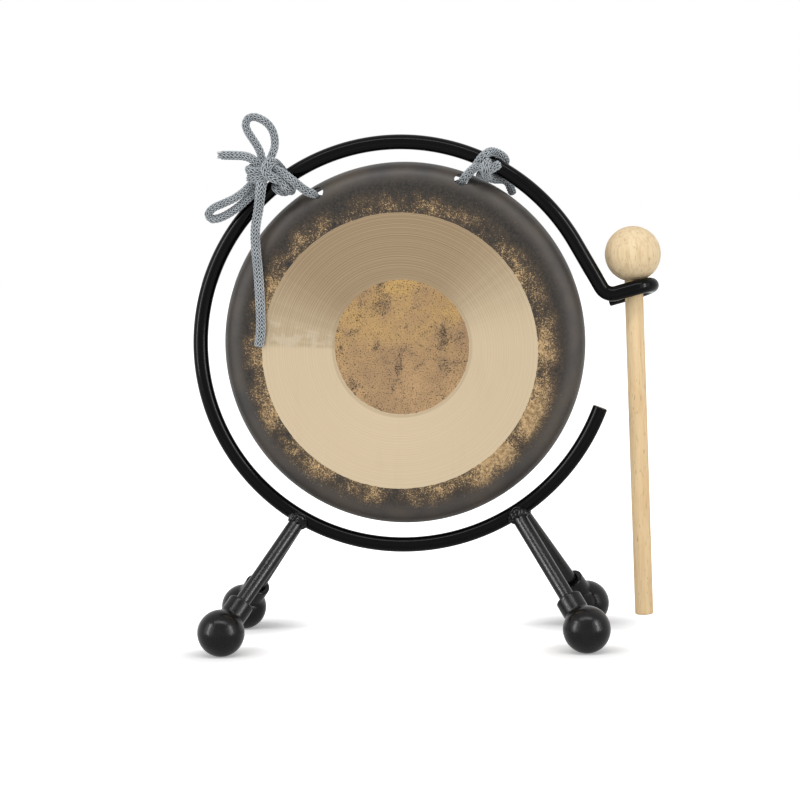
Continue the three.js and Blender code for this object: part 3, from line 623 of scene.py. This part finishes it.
TAIL = [
    (-72.7, -8.6, 94.0), (-73.0, -11.2, 90.2), (-73.3, -11.7, 87.4), (-73.9, -10.8, 84.0),
    (-74.7, -9.0, 79.9), (-75.6, -7.4, 75.4), (-76.7, -7.2, 70.1), (-77.5, -7.5, 65.1),
    (-77.7, -7.8, 60.2), (-77.4, -7.9, 52.8), (-76.8, -7.9, 44.8), (-76.3, -7.9, 35.8),
    (-76.0, -7.9, 26.8), (-75.9, -7.9, 17.8), (-76.1, -7.9, 9.3), (-77.5, -7.9, 0.5),
]
SHORT_TAIL = [
    (-70.5, -4.6, 93.6), (-73.3, -5.5, 96.3), (-74.3, -6.8, 99.2), (-76.4, -7.0, 101.8),
    (-79.3, -6.8, 104.0), (-83.0, -6.5, 105.2), (-87.6, -6.5, 105.6), (-92.0, -6.2, 105.8),
    (-95.6, -6.0, 106.0),
]
UPPER_LOOP = [
    (-72.6, -6.2, 98.5), (-73.6, -6.0, 106.0), (-75.6, -6.0, 110.7), (-78.3, -6.2, 115.0),
    (-80.5, -6.4, 118.8), (-81.4, -6.5, 122.2), (-80.2, -6.3, 125.2), (-77.2, -6.0, 126.3),
    (-73.4, -5.6, 125.2), (-69.9, -5.0, 122.8), (-67.4, -4.5, 119.4), (-66.1, -4.2, 115.2),
    (-66.0, -4.2, 110.3), (-67.5, -5.4, 105.5), (-70.6, -6.6, 99.5),
]
LOWER_LOOP = [
    (-74.0, -6.6, 93.6), (-78.4, -7.2, 90.3), (-83.5, -7.4, 85.7), (-89.0, -7.4, 82.1),
    (-95.1, -7.2, 79.5), (-100.8, -6.8, 77.0), (-103.4, -5.8, 73.9), (-101.9, -4.9, 71.4),
    (-98.5, -4.5, 71.5), (-93.6, -4.4, 73.4), (-88.3, -4.7, 76.6), (-82.9, -5.2, 80.7),
    (-78.1, -5.8, 85.0), (-74.8, -6.2, 87.4), (-71.6, -6.2, 91.0),
]
HANGER = [
    (-67.2, -7.6, 98.0), (-65.0, -9.8, 97.2), (-61.2, -10.6, 95.3), (-57.7, -10.6, 92.5),
    (-54.2, -9.8, 89.6), (-50.9, -8.6, 86.8), (-49.0, -7.4, 85.4), (-47.4, -5.8, 84.4),
    (-46.3, -4.0, 83.8), (-45.7, -2.2, 83.3), (-45.3, 0.0, 82.4), (-44.6, 2.4, 81.2),
    (-42.4, 4.4, 80.6), (-37.5, 5.4, 81.2), (-29.0, 5.6, 83.2), (-20.0, 5.4, 84.9),
    (-4.0, 5.6, 86.6), (12.0, 5.4, 87.0), (24.0, 5.0, 86.4), (30.5, 4.2, 86.4),
    (34.4, 2.2, 87.3), (36.4, -0.2, 88.7), (37.3, -2.3, 89.8), (38.4, -3.9, 91.2),
    (39.8, -4.5, 92.7), (41.4, -4.8, 94.2), (42.9, -5.2, 95.6),
]

# The left wrap: how far along the rod, degrees round it and how far out; lengths are in cords
LEFT_WRAP_AT, WRAP_UNIT = 122.5, 2 * CORD
LEFT_WRAP = [
    (-1.3, 34, 2.3), (-0.95, 28, 2.3), (-0.55, 17, 2.25), (-0.33, -3, 2.12), (-0.28, -24, 1.85),
    (-0.25, -55, 1.55), (-0.3, -90, 1.46), (-0.4, -130, 1.46), (-0.6, -165, 1.48),
]
LEFT_WRAP_END = [
    (-58.1, -4.4, 85.7), (-58.9, -7.8, 86.5), (-60.4, -9.6, 88.1), (-62.0, -9.2, 90.3),
    (-63.3, -7.0, 92.2),
]
HITCH = {
    "cord_hitch_lead": [
        (41.7, -4.6, 94.3), (43.2, -5.4, 95.5), (45.1, -6.6, 96.4), (47.5, -7.8, 95.6),
        (49.9, -8.2, 94.2), (52.1, -8.0, 94.7), (54.2, -7.4, 95.8), (56.0, -6.9, 96.8),
        (56.9, -6.3, 97.2),
    ],
    "cord_hitch_turn": [
        (43.1, -1.6, 95.7), (44.4, -4.6, 97.4), (46.4, -6.8, 99.9), (48.5, -7.0, 102.0),
        (50.5, -5.8, 103.5), (52.5, -3.4, 104.2), (54.6, -0.6, 103.8), (56.7, 1.0, 102.8),
        (58.6, 2.8, 101.3), (59.5, 5.2, 99.3), (59.0, 6.9, 97.1), (56.2, 7.0, 94.7),
        (53.3, 5.4, 92.8), (51.2, 2.0, 91.5), (50.1, -2.0, 90.9), (49.5, -6.4, 91.3),
        (49.4, -10.0, 92.8), (49.5, -12.4, 94.7), (49.7, -12.2, 96.5), (50.2, -10.2, 97.9),
        (51.0, -7.8, 98.7),
    ],
    "cord_hitch_end": [
        (44.6, -2.2, 93.2), (46.7, -1.4, 91.7), (49.2, -0.2, 90.7), (51.7, 1.6, 89.9), (54.0, 3.6, 89.3),
        (57.2, 5.9, 89.2), (59.0, 8.3, 88.9), (60.5, 11.0, 87.7), (61.4, 13.8, 85.9), (62.1, 16.5, 83.8),
        (62.8, 19.0, 81.6),
    ],
}
KNOT_TURNS = {
    "cord_turn_upper": [
        (-71.3, -3.2, 99.5), (-75.7, -3.4, 98.8), (-79.0, -5.2, 98.3), (-79.9, -7.6, 97.5),
        (-78.2, -9.6, 96.6), (-74.8, -10.4, 96.2), (-70.5, -9.6, 96.4), (-66.9, -7.5, 96.6),
    ],
    "cord_turn_lower": [
        (-70.4, -3.0, 93.5), (-75.3, -3.2, 93.3), (-78.7, -5.0, 93.2), (-79.5, -7.6, 92.8),
        (-77.5, -9.8, 92.4), (-73.7, -11.0, 92.6), (-69.3, -11.0, 93.4), (-65.7, -9.2, 94.0),
        (-63.9, -6.0, 94.6),
    ],
    "cord_turn_front": [
        (-67.8, -4.2, 100.8), (-68.1, -7.4, 101.5), (-68.6, -10.8, 100.8), (-69.6, -13.0, 98.8),
        (-70.0, -13.4, 96.7), (-68.7, -13.0, 94.4), (-66.4, -12.2, 92.9), (-64.4, -10.8, 92.1),
        (-63.1, -8.2, 91.8), (-62.9, -5.0, 92.3),
    ],
    "cord_turn_inner": [
        (-59.7, -1.5, 85.6), (-61.2, -5.0, 85.2), (-63.3, -7.2, 85.7), (-65.1, -7.4, 86.8),
        (-65.9, -6.4, 88.2), (-64.6, -5.2, 89.2), (-62.6, -4.6, 89.0),
    ],
}
KNOT_GIRTHS = {
    "cord_turn_upper": 1.06, "cord_turn_lower": 1.0, "cord_turn_inner": 1.0,
    "cord_turn_front": lambda run: 1.12 + 0.18 * np.exp(-((run - 6) / 5.5) ** 2),
}


def left_wrap():
    points = []
    for along, around, out in LEFT_WRAP:
        angle = math.radians(LEFT_WRAP_AT) - along * WRAP_UNIT / RING
        turn = math.radians(around)
        distance = out * WRAP_UNIT
        reach = RING + distance * math.cos(turn)
        points.append((reach * math.cos(angle), -distance * math.sin(turn), reach * math.sin(angle)))
    return points + LEFT_WRAP_END


THREADS = 26


def frayed(name, at, heading):
    """Loose threads at the cut end of the cord."""
    heading = unit(np.asarray(heading, float))
    side = unit(np.cross(heading, (0, 1, 0)))
    over = np.cross(heading, side)
    vertices, faces = [], []
    for _ in range(THREADS):
        a = RNG.uniform(0, 2 * math.pi)
        spread = RNG.uniform(0.2, 1.0)
        out = side * math.cos(a) + over * math.sin(a)
        root = np.asarray(at) + out * 1.9 * spread - heading * 0.8
        reach = RNG.uniform(1.4, 3.4)
        bend = out * RNG.uniform(-0.5, 1.0) + side * RNG.uniform(-0.4, 0.4)
        points = [root + heading * reach * t + bend * t * t * 0.9 for t in (0, 0.33, 0.66, 1)]
        line = catmull(points, 0.35)
        radii = np.repeat(np.linspace(0.2, 0.1, len(line))[:, None], 6, 1)
        v, f = tube_mesh(line, radii)
        base = len(vertices)
        vertices += row(v).tolist()
        faces += [[k + base for k in face] for face in f]
    return add_object(name, vertices, faces)


def make_tail():
    flare = lambda run: 1.10 + 0.13 * np.exp(-(run / 16) ** 2)
    tail, line = knitted("cord_tail", TAIL, phase=0.2, deep=0.94, spin=-15.0, wide=flare)
    finished(tail, KNIT, "knitted_cord", None, "cord_tail_upper", "cord_tail_lower")
    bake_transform(tail)


def make_short_tail():
    fray = frayed("cord_fray", SHORT_TAIL[-1], np.subtract(SHORT_TAIL[-1], SHORT_TAIL[-2]))
    fray.data.materials.append(KNIT)
    add_values(fray, "relief", np.full(len(fray.data.vertices), 0.55))
    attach(fray, "stand")
    short, line = knitted("cord_short", SHORT_TAIL, phase=0.6, end_round=0.6)
    finished(short, KNIT, "knitted_cord", "stand", "cord_short_tail")


def make_loop(name, route, node):
    loop, line = knitted(name, route, phase=0.35, wide=0.9)
    finished(loop, KNIT, "knitted_cord", "stand", node)


def make_hanger():
    hanger, line = knitted("cord_hanger", HANGER)
    finished(hanger, KNIT, "knitted_cord", None, "cord_lead", "cord_sling")
    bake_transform(hanger)


def make_knot():
    for name, route in KNOT_TURNS.items():
        turn, _ = knitted(name, route, phase=RNG.uniform(0, 1), girth=KNOT_GIRTHS[name])
        nodes = ["cord_knot"] if name == "cord_turn_front" else []
        finished(turn, KNIT, "knitted_cord", "stand", *nodes)


def make_wraps():
    left, _ = knitted("cord_wrap", left_wrap())
    finished(left, KNIT, "knitted_cord", "stand", "cord_wrap_left")
    nodes = {"cord_hitch_turn": ["cord_hitch"], "cord_hitch_end": ["cord_hitch_tail"]}
    for name, route in HITCH.items():
        hitch, _ = knitted(name, route, phase=0.4)
        finished(hitch, KNIT, "knitted_cord", "stand", *nodes.get(name, []))


make_tail()
make_short_tail()
make_loop("cord_loop_upper", UPPER_LOOP, "cord_bow_upper")
make_loop("cord_loop_lower", LOWER_LOOP, "cord_bow_lower")
make_hanger()
make_knot()
make_wraps()


# Frame rod

SPRUNG_CENTRE = polar(SPRUNG_FROM, RING - SPRUNG)


def ring_place(angle):
    if angle > 360 + SPRUNG_FROM:
        return polar(angle, SPRUNG) + SPRUNG_CENTRE
    return polar(angle, RING)


def hook():
    leave = polar(HOOK_LEAVES, RING)
    heading = HOOK_LEAVES - 90
    straight = leave + polar(heading, HOOK_STRAIGHT)
    bend_centre = straight + polar(heading + 90, HOOK_BEND)
    bend = [bend_centre + polar(a - 90, HOOK_BEND) for a in np.linspace(heading, HOOK_RISE, 26)]
    across, up = polar(HOOK_RISE, 1), polar(HOOK_RISE + 90, 1)
    dip = math.radians(HOOK_DIP)
    back = np.array([0, math.cos(dip), 0]) - up * math.sin(dip)
    front = bend[-1] + across * HOOK_FRONT
    centre = front + back * HOOK_LOOP
    loop = [centre + across * HOOK_LOOP * math.sin(a) - back * HOOK_LOOP * math.cos(a)
            for a in np.linspace(0, math.pi, 50)]
    end = loop[-1] - across * HOOK_BACK
    return bend, loop, end, centre, np.cross(across, back)


BEND, LOOP, HOOK_END, LOOP_CENTRE, LOOP_NORMAL = hook()


def frame_line():
    sprung = [polar(a, SPRUNG) + SPRUNG_CENTRE for a in np.linspace(SPRUNG_TO, SPRUNG_FROM, 90)]
    ring = [polar(a, RING) for a in np.linspace(SPRUNG_FROM, HOOK_LEAVES - 360, 260)]
    return even(np.array(sprung + ring[1:] + BEND + LOOP[1:] + [HOOK_END]), 1.1)


def make_ring():
    line = frame_line()
    ring = rod("ring_rod", line, ROD, 56, start=0.5, end=0.6)
    cut_end = row(line[0])
    away = [np.linalg.norm(np.array(v.co) - cut_end) for v in ring.data.vertices]
    add_values(ring, "bare", [1.0 if d < 0.92 * ROD * MM else 0.0 for d in away])
    finished(ring, PAINT, "black_paint", "stand", "frame_rod")


make_ring()


# Legs, feet and weld beads

def leg_axis(angle, foot_x, foot_y):
    """A leg butts on the underside of the ring rod, beside the other leg of its pair."""
    on_ring = ring_place(angle)
    along = polar(angle + 90, 1)
    foot = np.array([foot_x, foot_y, FOOT - FOOT_FLAT - CENTRE[2]])
    side = math.copysign(1, foot_y)
    top = on_ring.copy()
    for _ in range(8):
        down = unit(foot - top)
        upright = math.hypot(down[0], down[2])
        aside = LEG * upright + FIT
        reach = ROD + FIT + LEG * abs(down @ along)
        in_plane = unit(np.array([down[0], 0, down[2]]))
        top = on_ring + in_plane * (reach - aside * abs(down[1])) / upright
        top[1] = side * aside
    return {"foot": foot, "top": top, "down": unit(foot - top), "side": side}


def make_leg(corner, axis):
    length = np.linalg.norm(axis["foot"] - axis["top"]) - (COLLAR_TOP - FOOT_BORE) - FIT
    line = even(np.array([axis["top"], axis["top"] + axis["down"] * length]), 1.0)
    leg = rod("leg_rod_" + corner, line, LEG, 48, start=0.6, end=0.4)
    finished(leg, LEG_PAINT, "leg_paint", "stand", "leg_" + corner)


def foot_profile():
    neck = math.asin(COLLAR / FOOT)
    stop = math.pi / 2 - neck - 0.5 / FOOT
    ball = [(FOOT * math.cos(a), FOOT * math.sin(a)) for a in np.linspace(-math.pi / 2, stop, 60)]
    ball[0] = (0, -FOOT)
    neck_top = FOOT * math.cos(neck)
    bore = LEG + SNUG
    collar = [(COLLAR + 0.05, neck_top + 0.5), (COLLAR - 0.02, neck_top + 1.0), (COLLAR, neck_top + 1.6)]
    collar += [(COLLAR, z) for z in np.linspace(neck_top + 2.2, COLLAR_TOP - 1.0, 8)]
    for a in np.linspace(0.15, math.pi / 2, 7):
        chamfer = (COLLAR_CHAMFER * math.cos(a), COLLAR_CHAMFER * math.sin(a))
        collar.append((COLLAR - COLLAR_CHAMFER + chamfer[0], COLLAR_TOP - COLLAR_CHAMFER + chamfer[1]))
    collar += [(bore + 0.7, COLLAR_TOP - 0.02), (bore + 0.15, COLLAR_TOP - 0.3), (bore, COLLAR_TOP - 1.0)]
    bottom = COLLAR_TOP - FOOT_BORE
    return ball + collar + [(bore, bottom), (0, bottom)]


def make_foot(corner, axis):
    """A ball foot, placed by its vertices so that its box is true, and cut flat at the floor."""
    foot = lathe("foot_ball_" + corner, foot_profile(), 72)
    foot.data.transform(along_axis(axis["foot"], -axis["down"]))
    for v in foot.data.vertices:
        v.co.z = max(v.co.z, 0.0)
    finished(foot, RUBBER, "foot_rubber", "stand", "foot_" + corner)


# Lumps of a weld bead: degrees from the leg's open side and size. Each is a large one, and a small
# one further down: rise, reach and share
WELD_LUMPS = [(-118, 0.80), (-84, 1.0), (-48, 0.9), (-8, 1.1), (30, 0.88), (70, 1.06), (106, 0.84)]
WELD_LAYERS = [(1.4, 3.3, 1.0), (-0.6, 3.7, 0.62)]
WELD_LUMP = 2.75


def make_weld(corner, axis):
    """A run of molten lumps round the end of the leg, in the corner that it makes with the ring rod."""
    open_side = np.array([0, axis["side"], 0])
    open_side = unit(open_side - axis["down"] * (open_side @ axis["down"]))
    across = np.cross(axis["down"], open_side)
    mesh = bmesh.new()
    for degrees, size in WELD_LUMPS:
        for rise, reach, share in WELD_LAYERS:
            turn = math.radians(degrees + RNG.uniform(-7, 7))
            out = open_side * math.cos(turn) + across * math.sin(turn)
            place = axis["top"] + out * (reach + RNG.uniform(-0.2, 0.3)) - axis["down"] * rise
            matrix = Matrix.Translation(Vector(row(place)))
            radius = WELD_LUMP * size * share * MM
            bmesh.ops.create_icosphere(mesh, subdivisions=3, radius=radius, matrix=matrix)
    data = bpy.data.meshes.new("weld")
    mesh.to_mesh(data)
    mesh.free()
    weld = bpy.data.objects.new("weld_bead_" + corner, data)
    scene.collection.objects.link(weld)
    remesh = weld.modifiers.new("remesh", "REMESH")
    remesh.mode = "VOXEL"
    remesh.voxel_size = 0.3 * MM
    relax = weld.modifiers.new("relax", "SMOOTH")
    relax.factor = 0.5
    relax.iterations = 4
    weld.data = applied(weld)
    weld.modifiers.clear()
    shade_smooth(weld.data)
    finished(weld, WELD_PAINT, "black_paint", "stand", "weld_" + corner)


def applied(obj):
    bpy.context.view_layer.update()
    graph = bpy.context.evaluated_depsgraph_get()
    return bpy.data.meshes.new_from_object(obj.evaluated_get(graph))


LEGS = {
    "front_left": leg_axis(LEFT_LEG_AT, LEFT_FOOT_X, -FOOT_Y),
    "front_right": leg_axis(RIGHT_LEG_AT, RIGHT_FOOT_X, -FOOT_Y),
    "rear_left": leg_axis(LEFT_LEG_AT, LEFT_FOOT_X, FOOT_Y),
    "rear_right": leg_axis(REAR_RIGHT_LEG_AT, RIGHT_FOOT_X, FOOT_Y),
}
for corner, axis in LEGS.items():
    make_leg(corner, axis)
    make_foot(corner, axis)
    make_weld(corner, axis)


# Gong

def gong_profile():
    """(radius, depth) of the plate, with the bend and the turned-back rim, from centre to centre."""
    flat = GONG - GONG_BEND
    crown = lambda r: -GONG_CROWN * math.cos(0.5 * math.pi * min(1, r / flat)) ** 1.3
    outer = [(r, crown(r)) for r in np.linspace(0, flat, 60)]
    bend = [(flat + GONG_BEND * math.sin(a), GONG_BEND * (1 - math.cos(a)))
            for a in np.linspace(0, math.pi / 2, 30)]
    reach = GONG - GONG_LEAN
    rim = [(GONG - GONG_LEAN * t ** 1.4, GONG_BEND + (GONG_DEPTH - GONG_BEND) * t)
           for t in np.linspace(0.1, 0.93, 10)]
    lip = [(reach, GONG_DEPTH - GONG_EDGE), (reach - GONG_EDGE, GONG_DEPTH),
           (reach - GONG_WALL + GONG_EDGE, GONG_DEPTH), (reach - GONG_WALL, GONG_DEPTH - GONG_EDGE)]
    inner_radius = GONG_BEND - GONG_WALL
    back = [(flat + inner_radius * math.sin(a), GONG_BEND - inner_radius * math.cos(a))
            for a in np.linspace(math.pi / 2, 0, 24)]
    inside = [(r, crown(r) + GONG_WALL) for r in np.linspace(flat, 0, 40)]
    return outer + bend[1:] + rim + lip + back + inside[1:]


def make_gong():
    gong = lathe("gong_plate", gong_profile(), 288)
    gong.data.transform(Matrix.Rotation(-math.pi / 2, 4, "X"))
    tilt = math.radians(HOLE_TILT)
    flat = GONG - GONG_BEND
    for degrees in HOLES_AT:
        outward = polar(degrees, math.sin(tilt)) + np.array([0, -math.cos(tilt), 0])
        centre = polar(degrees, flat + GONG_BEND * math.sin(tilt))
        centre[1] = GONG_BEND * (1 - math.cos(tilt))
        bpy.ops.mesh.primitive_cylinder_add(
            vertices=48, radius=HOLE * MM, depth=CUTTER_DEPTH * MM, location=Vector(centre * MM))
        cutter = bpy.context.object
        cutter.rotation_mode = "QUATERNION"
        cutter.rotation_quaternion = Vector((0, 0, 1)).rotation_difference(Vector(outward))
        cut = gong.modifiers.new("cut", "BOOLEAN")
        cut.operation = "DIFFERENCE"
        cut.solver = "EXACT"
        cut.object = cutter
        gong.data = applied(gong)
        gong.modifiers.clear()
        bpy.data.objects.remove(cutter)
    shade_smooth(gong.data)
    gong.data.set_sharp_from_angle(angle=math.radians(50))
    gong.matrix_world = Matrix.Translation(Vector(row(GONG_AT)))
    finished(gong, BRONZE, "gong_bronze", "gong", "gong")


make_gong()


# Mallet

def head_height():
    tilt = math.acos(LOOP_NORMAL[2])
    reach = HEAD + ROD + FIT
    level = HOOK_LOOP * math.cos(tilt)
    return HOOK_LOOP * math.sin(tilt) + math.sqrt(reach * reach - level * level)


def make_mallet():
    at = LOOP_CENTRE + np.array([0, 0, head_height()])
    matrix = Matrix.Translation(Vector(row(at))) @ Matrix.Rotation(-math.radians(MALLET_LEAN), 4, "Y")
    bore = HANDLE + SNUG
    mouth = math.asin((bore + 0.5) / HEAD)
    skin = [(HEAD * math.cos(a), HEAD * math.sin(a))
            for a in np.linspace(-math.pi / 2 + mouth, math.pi / 2, 80)]
    skin[-1] = (0, HEAD)
    top = HEAD_BORE - HEAD
    profile = [(0, top), (bore, top), (bore, skin[0][1] + 0.5)] + skin
    ball = lathe("mallet_ball", profile, 96, matrix)
    finished(ball, BALL_WOOD, "mallet_wood", "mallet", "mallet_head")
    high = top - FIT
    low = high - HANDLE_LENGTH
    stick = [(0, low), (HANDLE - 0.9, low), (HANDLE - 0.45, low + 0.1)]
    stick += [(HANDLE - 0.12, low + 0.4), (HANDLE, low + 0.9)]
    stick += [(HANDLE, z) for z in np.linspace(low + 2, high - 2, 100)]
    stick += [(HANDLE, high - 0.6), (HANDLE - 0.6, high), (0, high)]
    dowel = lathe("mallet_dowel", stick, 64, matrix)
    finished(dowel, DOWEL_WOOD, "mallet_wood", "mallet", "mallet_handle")


make_mallet()


# Floor, world and light

def make_floor():
    """A pale floor that keeps the shadow close round each foot and is plain white away from them."""
    bpy.ops.mesh.primitive_plane_add(size=16)
    floor = bpy.context.object
    floor.name = "floor"
    n = Nodes("floor")
    tree = n.tree
    n.set(Base_Color=(0.9, 0.9, 0.9, 1), Roughness=0.9, Specular_IOR_Level=0.0)
    glow = n.add("Emission", None, Color=(1, 1, 1, 1), Strength=1.0)
    path = n.add("LightPath")
    at = n.place()
    apart = 9.0
    for axis in LEGS.values():
        foot = row(axis["foot"])
        from_foot = n.vector("SUBTRACT", at, (foot[0], foot[1], 0.0))
        apart = n.math("MINIMUM", apart, n.vector("LENGTH", from_foot))
    shown = n.math("MULTIPLY", path.outputs["Is Camera Ray"], n.ramp(apart, 0.012, 0.062, 0.25, 1.0))
    mirrored = n.math("MAXIMUM", path.outputs["Is Glossy Ray"], path.outputs["Is Transmission Ray"])
    mirrored = n.math("MULTIPLY", mirrored, n.ramp(n.vector("LENGTH", at), 0.2, 0.7, 0.16, 0.6))
    tree.links.new(n.math("MAXIMUM", shown, mirrored), glow.inputs["Strength"])
    both = n.add("AddShader")
    tree.links.new(n.shader.outputs[0], both.inputs[0])
    tree.links.new(glow.outputs[0], both.inputs[1])
    tree.links.new(both.outputs[0], tree.nodes["Material Output"].inputs["Surface"])
    floor.data.materials.append(n.material)


def make_world():
    world = bpy.data.worlds.new("world")
    scene.world = world
    world.use_nodes = True
    tree = world.node_tree
    light = tree.nodes["Background"]
    light.inputs["Color"].default_value = (1, 1, 1, 1)
    light.inputs["Strength"].default_value = 0.34
    white = tree.nodes.new("ShaderNodeBackground")
    white.inputs["Strength"].default_value = 1.0
    white.inputs["Color"].default_value = (1, 1, 1, 1)
    path = tree.nodes.new("ShaderNodeLightPath")
    seen = path.outputs["Is Camera Ray"]
    for name in ("Is Glossy Ray", "Is Transmission Ray"):
        either = tree.nodes.new("ShaderNodeMath")
        either.operation = "MAXIMUM"
        tree.links.new(seen, either.inputs[0])
        tree.links.new(path.outputs[name], either.inputs[1])
        seen = either.outputs[0]
    mix = tree.nodes.new("ShaderNodeMixShader")
    tree.links.new(seen, mix.inputs[0])
    tree.links.new(light.outputs[0], mix.inputs[1])
    tree.links.new(white.outputs[0], mix.inputs[2])
    tree.links.new(mix.outputs[0], tree.nodes["World Output"].inputs["Surface"])


LIT_PLACE = (0, 0, 0.15)


def soft_light(name, at, size, power):
    data = bpy.data.lights.new(name, "AREA")
    data.shape = "RECTANGLE"
    data.size, data.size_y = size
    data.energy = power
    lamp = bpy.data.objects.new(name, data)
    scene.collection.objects.link(lamp)
    lamp.location = at
    lamp.rotation_mode = "QUATERNION"
    lamp.rotation_quaternion = (Vector(LIT_PLACE) - Vector(at)).to_track_quat("-Z", "Y")
    return lamp


def make_sheen():
    """Two strips that light the black pieces alone, since the brass would mirror them as plain white."""
    black_pieces = bpy.data.collections.new("black_pieces")
    for obj in scene.objects:
        if obj.name.startswith(("ring_rod", "leg_rod", "weld_bead", "foot_ball")):
            black_pieces.objects.link(obj)
    for side in (-1, 1):
        sheen = soft_light("sheen", (side * 0.90, -0.56, 0.42), (0.16, 0.9), 7.0)
        sheen.visible_diffuse = False
        sheen.light_linking.receiver_collection = black_pieces


make_floor()
make_world()
soft_light("left", (-0.93, -0.58, 0.42), (0.9, 0.9), 4.4)
soft_light("right", (0.95, -0.60, 0.42), (0.9, 0.9), 4.4)
soft_light("above", (0.0, -0.55, 1.08), (1.2, 0.17), 5.4)
make_sheen()
